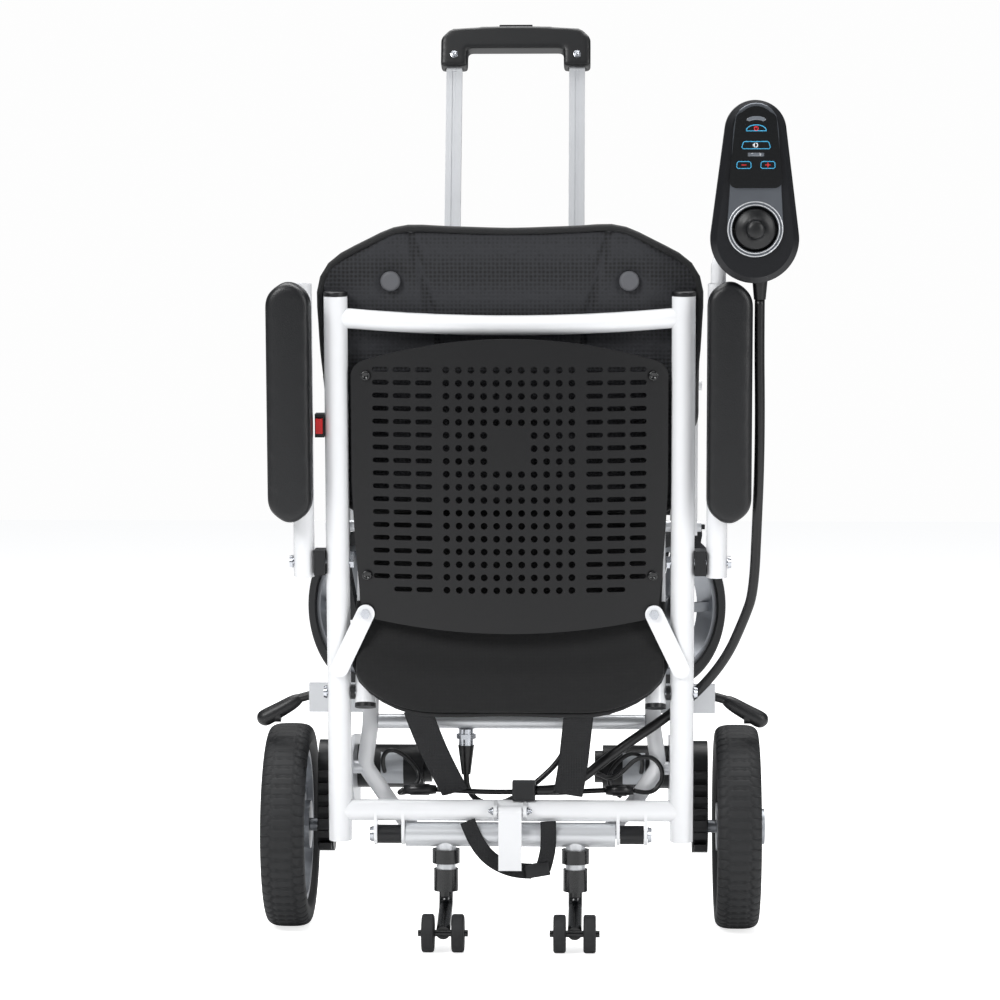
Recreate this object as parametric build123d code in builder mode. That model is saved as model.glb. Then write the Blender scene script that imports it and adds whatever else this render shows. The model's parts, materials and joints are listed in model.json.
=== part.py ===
"""Folding power wheelchair, folded and standing on its drive wheels and anti-tip wheels.

Millimetres. +Z is up, +Y is the way a rider would face and +X is to the rider's right.
The origin is on the floor, midway between the two drive wheels and under their axle.
"""
from math import cos, radians, sin, tan
import os

from build123d import *

os.makedirs("parts", exist_ok=True)

# ---- driving dimensions ----------------------------------------------------------------
WHEEL_RADIUS = 127.0          # ten inch drive wheel
WHEEL_WIDTH = 54.0
TRACK = 558.0                 # between the middles of the drive wheels
BACK_WIDTH = 416.0            # between the axes of the back tubes
BACK_HEIGHT = 658.0           # from the base pivot to the top of the back tubes
BACK_LEAN = 5.0               # degrees, to the rear
FOLD_ANGLE = 75.0             # degrees, seat and base above level when folded
LINK_LENGTH = 385.0           # base pivot to front leg pivot, the same on the seat
SEAT_RISE = 176.7             # base pivot to seat pivot, along the back tube
SEAT_LENGTH = 440.0
SEAT_SPACING = 352.0          # between the axes of the seat tubes
BASE_SPACING = 348.0          # between the axes of the base tubes
PIVOT_REACH = 100.0           # base pivot behind the axle
PIVOT_HEIGHT = 131.0
BACK_TUBE = 14.3              # radii of the round tubes
SEAT_TUBE = 12.5
ARM_TUBE = 12.5
BASE_TUBE = 10.0
BAR_TUBE = 12.0
TUBE_WALL = 2.0
ARM_RISE = 337.0              # base pivot to arm pivot, along the back tube
ARM_SPACING = 498.0           # between the axes of the arm tubes
ARM_LENGTH = 336.0
PAD_LENGTH = 288.0
PAD_WIDTH = 54.0
PAD_DEPTH = 32.0
CASTER_RADIUS = 100.0
CASTER_WIDTH = 36.0
CASTER_HEIGHT = 391.0         # caster axle above the floor when folded
CASTER_TRAIL = 35.0
CASTER_TURN = 45.0            # degrees
STEM_REACH = 115.0            # stem in front of the front leg pivot
STEM_SPACING = 430.0
HANDLE_WIDTH = 190.0
HANDLE_REACH = 857.0          # seat pivot to the top of the pulled-out handle
RAIL_SPACING = 156.0
ANTI_TIP_SPACING = 158.0
ANTI_TIP_RADIUS = 23.0
ANTI_TIP_REACH = 75.0         # anti-tip axle behind the stub
CABLE_RADIUS = 6.0

SEAT_GAP = 0.3                # between pieces that rest on each other
RUN_FIT = 0.06                # radial clearance of a pin that turns

# ---- frames ------------------------------------------------------------------------------
lean = radians(BACK_LEAN)
fold = radians(FOLD_ANGLE)
base_pivot = Vector(0, -PIVOT_REACH, PIVOT_HEIGHT)
# back: Y runs up the back tubes and Z points to the rear
back = Plane(origin=base_pivot, x_dir=(1, 0, 0), z_dir=(0, -cos(lean), -sin(lean)))
seat_pivot = back.from_local_coords((0, SEAT_RISE, 0))
# base and seat: Y runs to their front ends and Z is their upper side
base = Plane(origin=base_pivot, x_dir=(1, 0, 0), z_dir=(0, -sin(fold), cos(fold)))
seat = Plane(origin=seat_pivot, x_dir=(1, 0, 0), z_dir=(0, -sin(fold), cos(fold)))
leg_pivot = base.from_local_coords((0, LINK_LENGTH, 0))
leg_top = seat.from_local_coords((0, LINK_LENGTH, 0))
arm_pivot = back.from_local_coords((0, ARM_RISE, 0))

SIDES = {"left": -1, "right": 1}
back_x = BACK_WIDTH / 2
seat_x = SEAT_SPACING / 2
base_x = BASE_SPACING / 2
arm_x = ARM_SPACING / 2
wheel_x = TRACK / 2
stem_x = STEM_SPACING / 2
rail_x = RAIL_SPACING / 2


def at(frame, x, y, z):
    """A point of a frame, in the model's own axes."""
    return frame.from_local_coords((x, y, z))


def save(part, name):
    part.label = name
    export_step(part, f"parts/{name}.step")
    print(name, round(part.volume), [round(v, 1) for v in part.bounding_box().size])


def group(parts):
    return Compound(children=[solid for part in parts for solid in part.solids()])


def tube(points, radius, wall=0.0, bend=None):
    """A round tube or rod along straight runs joined by arcs."""
    with BuildPart() as made:
        with BuildLine() as path:
            if bend is None:
                Polyline(*points)
            else:
                FilletPolyline(*points, radius=bend)
        with BuildSketch(Plane(origin=path.line @ 0, z_dir=path.line % 0)):
            Circle(radius)
            if wall:
                Circle(radius - wall, mode=Mode.SUBTRACT)
        sweep(path=path.line)
    return made.part


def rod(x0, x1, y, z, radius, bore=0.0):
    """A rod or sleeve along X."""
    low, high = sorted((x0, x1))
    with BuildPart() as made:
        with BuildSketch(Plane.YZ.offset(low)):
            with Locations((y, z)):
                Circle(radius)
                if bore:
                    Circle(bore, mode=Mode.SUBTRACT)
        extrude(amount=high - low)
    return made.part


def block(frame, x, y, z, rounding=0.0):
    """A box between two values on each axis of a frame, with rounded edges along Z."""
    size = (abs(x[1] - x[0]), abs(y[1] - y[0]), abs(z[1] - z[0]))
    middle = (sum(x) / 2, sum(y) / 2, sum(z) / 2)
    with BuildPart(frame) as made:
        with Locations(middle):
            Box(*size)
        if rounding:
            fillet(made.edges().filter_by(Axis(frame.origin, frame.z_dir)), rounding)
    return made.part


def bolt(x_head, x_end, y, z, radius, nut=True):
    """A bolt along X with a domed head at x_head and, unless it ends in a bore, a nut at x_end."""
    way = 1 if x_end > x_head else -1
    head = 2.0 * radius
    with BuildPart() as made:
        with BuildSketch(Plane.YZ.offset(min(x_head, x_end))):
            with Locations((y, z)):
                Circle(radius)
        extrude(amount=abs(x_end - x_head))
        with BuildSketch(Plane(origin=(x_head, y, z), x_dir=(0, 1, 0), z_dir=(-way, 0, 0))):
            Circle(head)
        extrude(amount=radius, taper=18)
        if nut:
            with BuildSketch(Plane(origin=(x_end, y, z), x_dir=(0, 1, 0), z_dir=(way, 0, 0))):
                RegularPolygon(head, 6)
            extrude(amount=radius)
    return made.part


# ---- back frame ------------------------------------------------------------------------------
TUBE_FOOT = -7.0              # ends of the back tubes, from the base pivot
CAP_HEIGHT = 6.0
BAR_TOP = 633.0               # crossbars, from the base pivot
BAR_DIP = 10.0
BAR_BOTTOM = 30.0
BAR_BOTTOM_RADIUS = 13.0
PIVOT_BOLT = 5.0
SEAT_BOLT = 4.0
CROSS_TUBE = 15.0
CROSS_HALF = 128.0
LUG = 4.0                     # thickness of the pivot lugs
BUSH_LENGTH = 29.0
BUSH_RADIUS = 11.5

back_tubes = []
for side in SIDES.values():
    x = side * back_x
    with BuildPart() as back_tube:
        with BuildSketch(Plane(origin=at(back, x, TUBE_FOOT, 0), z_dir=back.y_dir)):
            Circle(BACK_TUBE)
            Circle(BACK_TUBE - TUBE_WALL, mode=Mode.SUBTRACT)
        extrude(amount=BACK_HEIGHT - TUBE_FOOT)
        for rise, hole in ((SEAT_RISE, SEAT_BOLT), (ARM_RISE, SEAT_BOLT)):
            with Locations(Location(at(back, x, rise, 0), (0, 90, 0))):
                Cylinder(hole, 4 * BACK_TUBE, mode=Mode.SUBTRACT)
    back_tubes.append(back_tube.part)
save(group(back_tubes), "back_tubes")


def beside_tubes(shape):
    """Cut a crossbar's ends to the round of the back tubes."""
    for side in SIDES.values():
        with BuildPart() as cutter:
            with BuildSketch(Plane(origin=at(back, side * back_x, TUBE_FOOT - 20, 0),
                                   z_dir=back.y_dir)):
                Circle(BACK_TUBE)
            extrude(amount=BACK_HEIGHT + 60)
        shape = shape - cutter.part
    return shape


with BuildPart() as top_bar:
    with BuildLine() as bow:
        ThreePointArc(at(back, -back_x, BAR_TOP, 0), at(back, 0, BAR_TOP - BAR_DIP, 0),
                      at(back, back_x, BAR_TOP, 0))
    with BuildSketch(Plane(origin=bow.line @ 0, z_dir=bow.line % 0)):
        Circle(BAR_TUBE)
        Circle(BAR_TUBE - TUBE_WALL, mode=Mode.SUBTRACT)
    sweep(path=bow.line)
top_piece = beside_tubes(top_bar.part).solids().sort_by(SortBy.VOLUME)[-1]

bar_low = at(back, 0, BAR_BOTTOM, 0)
lug_inner = CROSS_HALF + 1.0
lug_outer = lug_inner + LUG + BUSH_LENGTH + 2 * SEAT_GAP
LATCH_HALF = 15.0             # half the width of the latch plate
LATCH_PIN = 3.0
LATCH_REACH = 21.0
latch_axis = at(back, 0, BAR_BOTTOM + 4, LATCH_REACH)

with BuildPart() as bottom_bar:
    with BuildSketch(Plane.YZ.offset(-back_x)):
        with Locations((bar_low.Y, bar_low.Z)):
            Circle(BAR_BOTTOM_RADIUS)
    extrude(amount=BACK_WIDTH)
    for side in SIDES.values():
        for start in (lug_inner, lug_outer):
            with BuildSketch(Plane.YZ.offset(side * (start + LUG / 2))):
                with Locations((bar_low.Y, bar_low.Z), (base_pivot.Y, base_pivot.Z)):
                    Circle(BAR_BOTTOM_RADIUS)
                make_hull()
            extrude(amount=LUG / 2, both=True)
    for side in SIDES.values():
        with BuildSketch(Plane.YZ.offset(side * (LATCH_HALF + 3))):
            with Locations((bar_low.Y, bar_low.Z)):
                Circle(BAR_BOTTOM_RADIUS)
            with Locations((latch_axis.Y, latch_axis.Z)):
                Circle(2.5 * LATCH_PIN)
            make_hull()
        extrude(amount=2, both=True)
    with BuildSketch(Plane.YZ.offset(-LATCH_HALF - 2)):
        with Locations((latch_axis.Y, latch_axis.Z)):
            Circle(LATCH_PIN)
    extrude(amount=2 * LATCH_HALF + 4)
    with BuildSketch(Plane.YZ.offset(-back_x)):
        with Locations((base_pivot.Y, base_pivot.Z)):
            Circle(PIVOT_BOLT)
        with Locations((bar_low.Y, bar_low.Z)):
            Circle(BAR_BOTTOM_RADIUS - 2.5)
    extrude(amount=BACK_WIDTH, mode=Mode.SUBTRACT)
bottom_piece = beside_tubes(bottom_bar.part).solids().sort_by(SortBy.VOLUME)[-1]

# white plates that hold the foot of the shell
SHELL_FOOT = 254.0            # shell, along the back tubes
SHELL_TOP = 609.0
SHELL_HALF = 190.0
SHELL_WALL = 4.0
SHELL_BULGE = 22.0
PLATE_REAR = BACK_TUBE + 0.8
shell_plates = []
for side in SIDES.values():
    with BuildPart() as shell_plate:
        with BuildSketch(back.offset(PLATE_REAR)):
            with Locations((side * (back_x - 2), SHELL_FOOT - 45), (side * (back_x - 34), SHELL_FOOT + 22)):
                Circle(11)
            make_hull()
            with Locations((side * (back_x - 34), SHELL_FOOT + 22)):
                Circle(3, mode=Mode.SUBTRACT)
        extrude(amount=3)
    shell_plates.append(shell_plate.part)
save(group([Part() + top_piece, Part() + bottom_piece] + shell_plates), "back_bars")

# black nylon: tube caps, arm saddles, pivot bushes, cable junction and release housing
RELEASE_RISE = 503.0
saddle_start = back_x + BACK_TUBE + SEAT_GAP
saddle_end = arm_x - ARM_TUBE - SEAT_GAP
JUNCTION_X = (2.0, 30.0)
nylon = []
for side in SIDES.values():
    x = side * back_x
    with BuildPart() as cap:
        with BuildSketch(Plane(origin=at(back, x, BACK_HEIGHT, 0), z_dir=back.y_dir)):
            Circle(BACK_TUBE + 0.2)
        extrude(amount=CAP_HEIGHT)
        fillet(cap.edges().group_by(Axis.Z)[-1], 2.5)
    nylon.append(cap.part)
    saddle = block(back, sorted((side * saddle_start, side * saddle_end)),
                   (ARM_RISE - 15, ARM_RISE + 15), (-13, 13))
    nylon.append(saddle - rod(side * saddle_start, side * saddle_end, arm_pivot.Y, arm_pivot.Z, SEAT_BOLT))
    start = side * (lug_inner + LUG + SEAT_GAP)
    nylon.append(rod(start, start + side * BUSH_LENGTH, base_pivot.Y, base_pivot.Z,
                     BUSH_RADIUS, PIVOT_BOLT))
    start = side * (seat_x + SEAT_TUBE + SEAT_GAP)
    end = side * (back_x - BACK_TUBE)
    nylon.append(rod(start, end, seat_pivot.Y, seat_pivot.Z, 9.0, SEAT_BOLT))
release_x = (-saddle_end + 2.5, -saddle_start)
release_button_x = (release_x[0] + 1.5, release_x[1] - 1.5)
release_house = block(back, release_x, (RELEASE_RISE - 14, RELEASE_RISE + 14), (-10, 9))
nylon.append(release_house - block(back, (release_button_x[0] - 0.3, release_button_x[1] + 0.3),
                                   (RELEASE_RISE - 9.3, RELEASE_RISE + 9.3), (4, 10)))
junction_floor = bar_low.Z + BAR_BOTTOM_RADIUS + SEAT_GAP
nylon.append(block(Plane.XY, JUNCTION_X, (bar_low.Y - 10, bar_low.Y + 16),
                   (junction_floor, junction_floor + 22), 3))
save(group(nylon), "frame_caps")

# ---- fasteners of the back frame ------------------------------------------------------------
bolts = []
for side in SIDES.values():
    bolts.append(bolt(side * (arm_x + ARM_TUBE + 1), side * (back_x - BACK_TUBE - 1),
                      arm_pivot.Y, arm_pivot.Z, SEAT_BOLT))
    bolts.append(bolt(side * (back_x + BACK_TUBE + 0.5), side * (seat_x - SEAT_TUBE - 1),
                      seat_pivot.Y, seat_pivot.Z, SEAT_BOLT))
    bolts.append(bolt(side * (lug_outer + LUG + 0.5), side * (CROSS_HALF - 24),
                      base_pivot.Y, base_pivot.Z, PIVOT_BOLT, nut=False))
    with BuildPart() as foot_bolt:
        with BuildSketch(back.offset(PLATE_REAR - 1)):
            with Locations((side * (back_x - 34), SHELL_FOOT + 22)):
                Circle(3)
        extrude(amount=4)
        with BuildSketch(back.offset(PLATE_REAR + 3)):
            with Locations((side * (back_x - 34), SHELL_FOOT + 22)):
                RegularPolygon(6, 6)
        extrude(amount=4)
    bolts.append(foot_bolt.part)
frame_bolts = bolts

# ---- shell ----------------------------------------------------------------------------------
SLOT_HEIGHT = 6.0
ROW_PITCH = 15.6
ROWS = 18
HOLE_PITCH = 15.0
HOLE_COLUMNS = 11
FIELD_TOP = 572.0
PATCH_ROWS = (5, 6, 7)
PATCH_HALF = 26.0
bulge_radius = (SHELL_HALF ** 2 + SHELL_BULGE ** 2) / (2 * SHELL_BULGE)
SHELL_BACK = 5.0              # edge of the shell behind the tubes' axes


def shell_rear(x):
    """How far the shell's rear face stands behind the tubes' axes."""
    depth = (bulge_radius ** 2 - x ** 2) ** 0.5
    return SHELL_BACK + SHELL_WALL + depth - (bulge_radius - SHELL_BULGE)


with BuildPart() as back_shell:
    with BuildSketch(Plane(origin=at(back, 0, SHELL_FOOT - 30, 0), x_dir=(1, 0, 0), z_dir=back.y_dir)):
        with BuildLine():
            edge_in = -SHELL_BACK
            edge_out = -SHELL_BACK - SHELL_WALL
            inner = ThreePointArc((-SHELL_HALF, edge_in), (0, edge_in - SHELL_BULGE), (SHELL_HALF, edge_in))
            outer = ThreePointArc((-SHELL_HALF, edge_out), (0, edge_out - SHELL_BULGE),
                                  (SHELL_HALF, edge_out))
            Line(inner @ 0, outer @ 0)
            Line(inner @ 1, outer @ 1)
        make_face()
    extrude(amount=SHELL_TOP - SHELL_FOOT + 60)
    with BuildSketch(back) as outline:
        with BuildLine():
            foot = ThreePointArc((-SHELL_HALF + 12, SHELL_FOOT + 18), (0, SHELL_FOOT),
                                 (SHELL_HALF - 12, SHELL_FOOT + 18))
            head = ThreePointArc((-SHELL_HALF, SHELL_TOP - 32), (0, SHELL_TOP), (SHELL_HALF, SHELL_TOP - 32))
            ThreePointArc(foot @ 0, (-SHELL_HALF + 1, (SHELL_FOOT + SHELL_TOP) / 2 - 20), head @ 0)
            ThreePointArc(foot @ 1, (SHELL_HALF - 1, (SHELL_FOOT + SHELL_TOP) / 2 - 20), head @ 1)
        make_face()
        fillet(outline.vertices(), 22)
    extrude(amount=60, both=True, mode=Mode.INTERSECT)
    with BuildSketch(back):
        for row in range(ROWS):
            y = FIELD_TOP - row * ROW_PITCH
            for column in range(HOLE_COLUMNS):
                x = (column - (HOLE_COLUMNS - 1) / 2) * HOLE_PITCH
                if row in PATCH_ROWS and abs(x) < PATCH_HALF:
                    continue
                with Locations((x, y)):
                    Circle(4.1)
            for side in SIDES.values():
                for start, length in ((92, 20), (117, 22), (144, 20)):
                    if row == ROWS - 1 and start > 140:
                        continue
                    with Locations((side * (start + length / 2), y)):
                        SlotOverall(length, SLOT_HEIGHT)
    extrude(amount=60, both=True, mode=Mode.SUBTRACT)
save(back_shell.part, "back_shell")

for side in SIDES.values():
    for y in (FIELD_TOP - 8, FIELD_TOP - 16.5 * ROW_PITCH + 8):
        x = side * 172
        rear = shell_rear(x - side * 5.5)
        with BuildPart() as screw:
            with BuildSketch(back.offset(rear)):
                with Locations((x, y)):
                    Circle(5.5)
            extrude(amount=2.2)
            fillet(screw.edges().group_by(SortBy.LENGTH)[-1], 0.8)
        frame_bolts.append(screw.part)
save(group(frame_bolts), "frame_fasteners")

# ---- back cushion ------------------------------------------------------------------------------
CUSHION_TOP = 746.0
CUSHION_FOOT = 392.0
CUSHION_HALF = 234.0
CUSHION_NARROW = 214.0
CUSHION_DEPTH = 27.0
cushion_rear = -BACK_TUBE - SEAT_GAP
with BuildPart() as back_cushion:
    with BuildSketch(Plane.YZ.offset(-CUSHION_HALF)):
        side_points = [(CUSHION_FOOT, cushion_rear), (CUSHION_TOP, cushion_rear),
                       (CUSHION_TOP, cushion_rear - CUSHION_DEPTH),
                       (CUSHION_FOOT + 60, cushion_rear - CUSHION_DEPTH),
                       (CUSHION_FOOT, cushion_rear - 7)]
        places = [at(back, 0, y, z) for y, z in side_points]
        with BuildLine():
            Polyline(*[(p.Y, p.Z) for p in places], close=True)
        make_face()
    extrude(amount=2 * CUSHION_HALF)
    with BuildSketch(back) as cushion_outline:
        with BuildLine():
            Polyline((-CUSHION_NARROW, CUSHION_FOOT), (CUSHION_NARROW, CUSHION_FOOT),
                     (CUSHION_HALF, CUSHION_FOOT + 200), (CUSHION_HALF, CUSHION_TOP - 48),
                     (CUSHION_HALF - 90, CUSHION_TOP), (-CUSHION_HALF + 90, CUSHION_TOP),
                     (-CUSHION_HALF, CUSHION_TOP - 48), (-CUSHION_HALF, CUSHION_FOOT + 200), close=True)
        make_face()
        fillet(cushion_outline.vertices(), 25)
    extrude(amount=120, both=True, mode=Mode.INTERSECT)
save(back_cushion.part, "back_cushion")

TUFT_X = 143.0
TUFT_RISE = 675.0
tufts = []
for side in SIDES.values():
    with BuildPart() as tuft:
        with BuildSketch(back.offset(cushion_rear + SEAT_GAP)):
            with Locations((side * TUFT_X, TUFT_RISE)):
                Circle(12)
        extrude(amount=6)
        fillet(tuft.edges().group_by(SortBy.LENGTH)[-1][-1], 4)
    tufts.append(tuft.part)
save(group(tufts), "tuft_buttons")

RELEASE_TRAVEL = 3.0
save(block(back, release_button_x, (RELEASE_RISE - 9, RELEASE_RISE + 9), (4 + RELEASE_TRAVEL + SEAT_GAP, 15)),
     "release_button")

with BuildPart() as latch_plate:
    with BuildSketch(Plane.YZ.offset(-LATCH_HALF + 1)):
        with Locations((latch_axis.Y, latch_axis.Z)):
            Circle(2.2 * LATCH_PIN)
        with Locations((latch_axis.Y - 4, latch_axis.Z - 36)):
            Rectangle(4, 72)
        with Locations((latch_axis.Y, latch_axis.Z)):
            Circle(LATCH_PIN + RUN_FIT, mode=Mode.SUBTRACT)
    extrude(amount=2 * LATCH_HALF - 2)
save(latch_plate.part, "latch_plate")

# ---- seat ------------------------------------------------------------------------------------
SEAT_FOOT = -14.0
SEAT_BARS = (60.0, 250.0)
SEAT_BAR_RADIUS = 8.0
LEG_PIN = 7.0
LEG_PIN_HALF = 234.0

seat_tubes = []
for side in SIDES.values():
    x = side * seat_x
    with BuildPart() as seat_tube:
        with BuildSketch(Plane(origin=at(seat, x, SEAT_FOOT, 0), z_dir=seat.y_dir)):
            Circle(SEAT_TUBE)
            Circle(SEAT_TUBE - TUBE_WALL, mode=Mode.SUBTRACT)
        extrude(amount=SEAT_LENGTH - SEAT_FOOT)
        with Locations(Location(seat_pivot + Vector(x, 0, 0), (0, 90, 0))):
            Cylinder(SEAT_BOLT + RUN_FIT, 4 * SEAT_TUBE, mode=Mode.SUBTRACT)
        with Locations(Location(leg_top + Vector(x, 0, 0), (0, 90, 0))):
            Cylinder(LEG_PIN, 4 * SEAT_TUBE, mode=Mode.SUBTRACT)
    seat_tubes.append(seat_tube.part)
seat_inside = seat_x - SEAT_TUBE
for y in SEAT_BARS:
    place = at(seat, 0, y, 0)
    seat_tubes.append(rod(-seat_inside, seat_inside, place.Y, place.Z, SEAT_BAR_RADIUS))
seat_tubes.append(rod(-LEG_PIN_HALF, LEG_PIN_HALF, leg_top.Y, leg_top.Z, LEG_PIN))
save(group(seat_tubes), "seat_tubes")

seat_caps = []
for side in SIDES.values():
    for y, way in ((SEAT_FOOT, -1), (SEAT_LENGTH, 1)):
        with BuildPart() as seat_cap:
            with BuildSketch(Plane(origin=at(seat, side * seat_x, y, 0), z_dir=seat.y_dir * way)):
                Circle(SEAT_TUBE + 0.3)
            extrude(amount=5)
        seat_caps.append(seat_cap.part)
save(group(seat_caps), "seat_caps")

SEAT_HALF = 190.0
SEAT_FRONT_HALF = 233.0
SEAT_SHOULDER = 290.0
seat_floor = SEAT_TUBE + SEAT_GAP
with BuildPart() as seat_cushion:
    with BuildSketch(Plane.YZ.offset(-SEAT_FRONT_HALF)):
        section = [(-33, seat_floor), (-33, 28), (-24, 33), (15, 33), (40, 26), (106, 26), (190, 44),
                   (450, 44), (450, seat_floor)]
        places = [at(seat, 0, y, z) for y, z in section]
        with BuildLine():
            Polyline(*[(p.Y, p.Z) for p in places], close=True)
        make_face()
    extrude(amount=2 * SEAT_FRONT_HALF)
    with BuildSketch(seat) as seat_outline:
        with BuildLine():
            Polyline((-SEAT_HALF, -33), (SEAT_HALF, -33), (SEAT_HALF, SEAT_SHOULDER),
                     (SEAT_FRONT_HALF, SEAT_SHOULDER + 40), (SEAT_FRONT_HALF, 450),
                     (-SEAT_FRONT_HALF, 450), (-SEAT_FRONT_HALF, SEAT_SHOULDER + 40),
                     (-SEAT_HALF, SEAT_SHOULDER), close=True)
        make_face()
        fillet(seat_outline.vertices(), 18)
    extrude(amount=120, both=True, mode=Mode.INTERSECT)
save(seat_cushion.part, "seat_cushion")

# trolley sleeves lie under the seat bars, and the battery box hangs under the sleeves
RAIL_WIDE = 20.0
RAIL_DEEP = 10.0
RAIL_FIT = 0.4
SLEEVE_WALL = 2.5
SLEEVE_START = 20.0
SLEEVE_END = 370.0
RAIL_START = 320.0
sleeve_top = -SEAT_BAR_RADIUS - SEAT_GAP
sleeve_deep = RAIL_DEEP + 2 * RAIL_FIT + 2 * SLEEVE_WALL
sleeve_floor = sleeve_top - sleeve_deep
rail_middle = sleeve_top - sleeve_deep / 2
sleeves = []
for side in SIDES.values():
    x = side * rail_x
    half = RAIL_WIDE / 2 + RAIL_FIT + SLEEVE_WALL
    sleeve = block(seat, (x - half, x + half), (SLEEVE_START, SLEEVE_END), (sleeve_floor, sleeve_top))
    hollow = half - SLEEVE_WALL
    sleeve = sleeve - block(seat, (x - hollow, x + hollow), (SLEEVE_START + 4, SLEEVE_END),
                            (sleeve_floor + SLEEVE_WALL, sleeve_top - SLEEVE_WALL))
    sleeves.append(sleeve)
save(group(sleeves), "trolley_sleeves")

BATTERY_HALF = 105.0
BATTERY_SPAN = (60.0, 204.0)
BATTERY_DEEP = 75.0
CHARGE_BORE = 8.0
CHARGE_DEPTH = 14.0
CHARGE_INSET = 16.0           # from the box's top, so that a straight plug passes in front of the base tubes
battery_top = sleeve_floor - SEAT_GAP
battery = block(seat, (-BATTERY_HALF, BATTERY_HALF), BATTERY_SPAN,
                (battery_top - BATTERY_DEEP, battery_top), 12)
charge_place = at(seat, BATTERY_HALF - CHARGE_DEPTH, sum(BATTERY_SPAN) / 2, battery_top - CHARGE_INSET)
battery = battery - rod(charge_place.X, charge_place.X + 30, charge_place.Y, charge_place.Z, CHARGE_BORE)
save(battery, "battery_box")

straps = []
STRAP_TOP = 279.0
for x0, x1, width in ((-112, -68, 34), (84, 70, 36)):
    with BuildPart() as strap:
        with BuildSketch(Plane.XZ.offset(PIVOT_REACH + 40)):
            with BuildLine():
                Polyline((x0 - width / 2, STRAP_TOP), (x0 + width / 2, STRAP_TOP), (x1 + width / 2, 184),
                         (x1 - width / 2, 184), close=True)
            make_face()
        extrude(amount=2)
    straps.append(strap.part)
save(group(straps), "webbing_straps")

# ---- trolley handle ---------------------------------------------------------------------------
GRIP_DEEP = 28.0
GRIP_TALL = 30.0
GRIP_LEG = 54.0
rails = []
rail_top = HANDLE_REACH - GRIP_LEG + 20
for side in SIDES.values():
    x = side * rail_x
    rail = block(seat, (x - RAIL_WIDE / 2, x + RAIL_WIDE / 2), (RAIL_START, rail_top),
                 (rail_middle - RAIL_DEEP / 2, rail_middle + RAIL_DEEP / 2))
    for face in (-1, 1):
        edge = rail_middle + face * RAIL_DEEP / 2
        rail = rail - block(seat, (x - 2.5, x + 2.5), (RAIL_START + 1, rail_top - 24),
                            sorted((edge - face * 1.2, edge + face * 2)))
    rails.append(rail)
save(group(rails), "trolley_rails")

with BuildPart() as trolley_grip:
    with BuildSketch(seat.offset(rail_middle - GRIP_DEEP / 2)) as grip_outline:
        with BuildLine():
            half = HANDLE_WIDTH / 2
            low = HANDLE_REACH - GRIP_LEG
            high = HANDLE_REACH - 4
            inner_half = half - 34
            roof = HANDLE_REACH - GRIP_TALL
            Polyline((-inner_half, roof), (-inner_half, low), (-half, low), (-half, high - 12))
            Line((-half, high - 12), (-half + 12, high))
            ThreePointArc((-half + 12, high), (0, HANDLE_REACH), (half - 12, high))
            Polyline((half - 12, high), (half, high - 12), (half, low), (inner_half, low),
                     (inner_half, roof), (-inner_half, roof))
        make_face()
        fillet(grip_outline.vertices().group_by(Axis.Z)[-1], 3)
    extrude(amount=GRIP_DEEP)
    chamfer(trolley_grip.edges().group_by(SortBy.LENGTH)[-1], 2)
grip = trolley_grip.part
for side in SIDES.values():
    x = side * rail_x
    grip = grip - block(seat, (x - RAIL_WIDE / 2, x + RAIL_WIDE / 2), (HANDLE_REACH - GRIP_LEG - 5, rail_top),
                        (rail_middle - RAIL_DEEP / 2, rail_middle + RAIL_DEEP / 2))
BUTTON_HALF = 21.0
BUTTON_TRAVEL = 3.0
pocket = (rail_middle - 7, rail_middle + 7)
grip = grip - block(seat, (-BUTTON_HALF - 0.3, BUTTON_HALF + 0.3), (HANDLE_REACH - 14, HANDLE_REACH + 5),
                    (pocket[0] - 0.3, pocket[1] + 0.3))
save(grip, "trolley_grip")
save(block(seat, (-BUTTON_HALF, BUTTON_HALF),
           (HANDLE_REACH - 14 + BUTTON_TRAVEL + SEAT_GAP, HANDLE_REACH + 3), pocket), "grip_button")

# ---- base ------------------------------------------------------------------------------------
BASE_RAIL = 139.0
MOTOR_RADIUS = 27.0
MOTOR_Y = 10.0
MOTOR_Z = 200.0
MOTOR_SPAN = (112.0, 223.0)
GEAR_SPAN = (223.5, 243.0)
GEAR_RADIUS = 36.0
RIB_PITCH = 15.0
PLATE_START = 194.5
STUB_RADIUS = 12.0
STUB_FOOT = 72.0
stub_x = ANTI_TIP_SPACING / 2
stub_y = base_pivot.Y

with BuildPart() as cross_tube:
    with BuildSketch(Plane.YZ.offset(-CROSS_HALF)):
        with Locations((base_pivot.Y, base_pivot.Z)):
            Circle(CROSS_TUBE)
    extrude(amount=2 * CROSS_HALF)
    with BuildSketch(Plane.XY.offset(STUB_FOOT)):
        with Locations((-stub_x, stub_y), (stub_x, stub_y)):
            Circle(STUB_RADIUS)
    extrude(amount=base_pivot.Z - STUB_FOOT)
    with BuildSketch(Plane.YZ.offset(-CROSS_HALF)):
        with Locations((base_pivot.Y, base_pivot.Z)):
            Circle(PIVOT_BOLT + RUN_FIT)
    extrude(amount=30, mode=Mode.SUBTRACT)
    with BuildSketch(Plane.YZ.offset(CROSS_HALF)):
        with Locations((base_pivot.Y, base_pivot.Z)):
            Circle(PIVOT_BOLT + RUN_FIT)
    extrude(amount=-30, mode=Mode.SUBTRACT)
rail_place = at(base, 0, BASE_RAIL, 0)
base_inside = base_x - BASE_TUBE
mid_rail = rod(-base_inside, base_inside, rail_place.Y, rail_place.Z, 9.0)
front_bar = rod(-LEG_PIN_HALF, LEG_PIN_HALF, leg_pivot.Y, leg_pivot.Z, LEG_PIN)
save(group([cross_tube.part, mid_rail, front_bar]), "base_cross_tubes")

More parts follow.
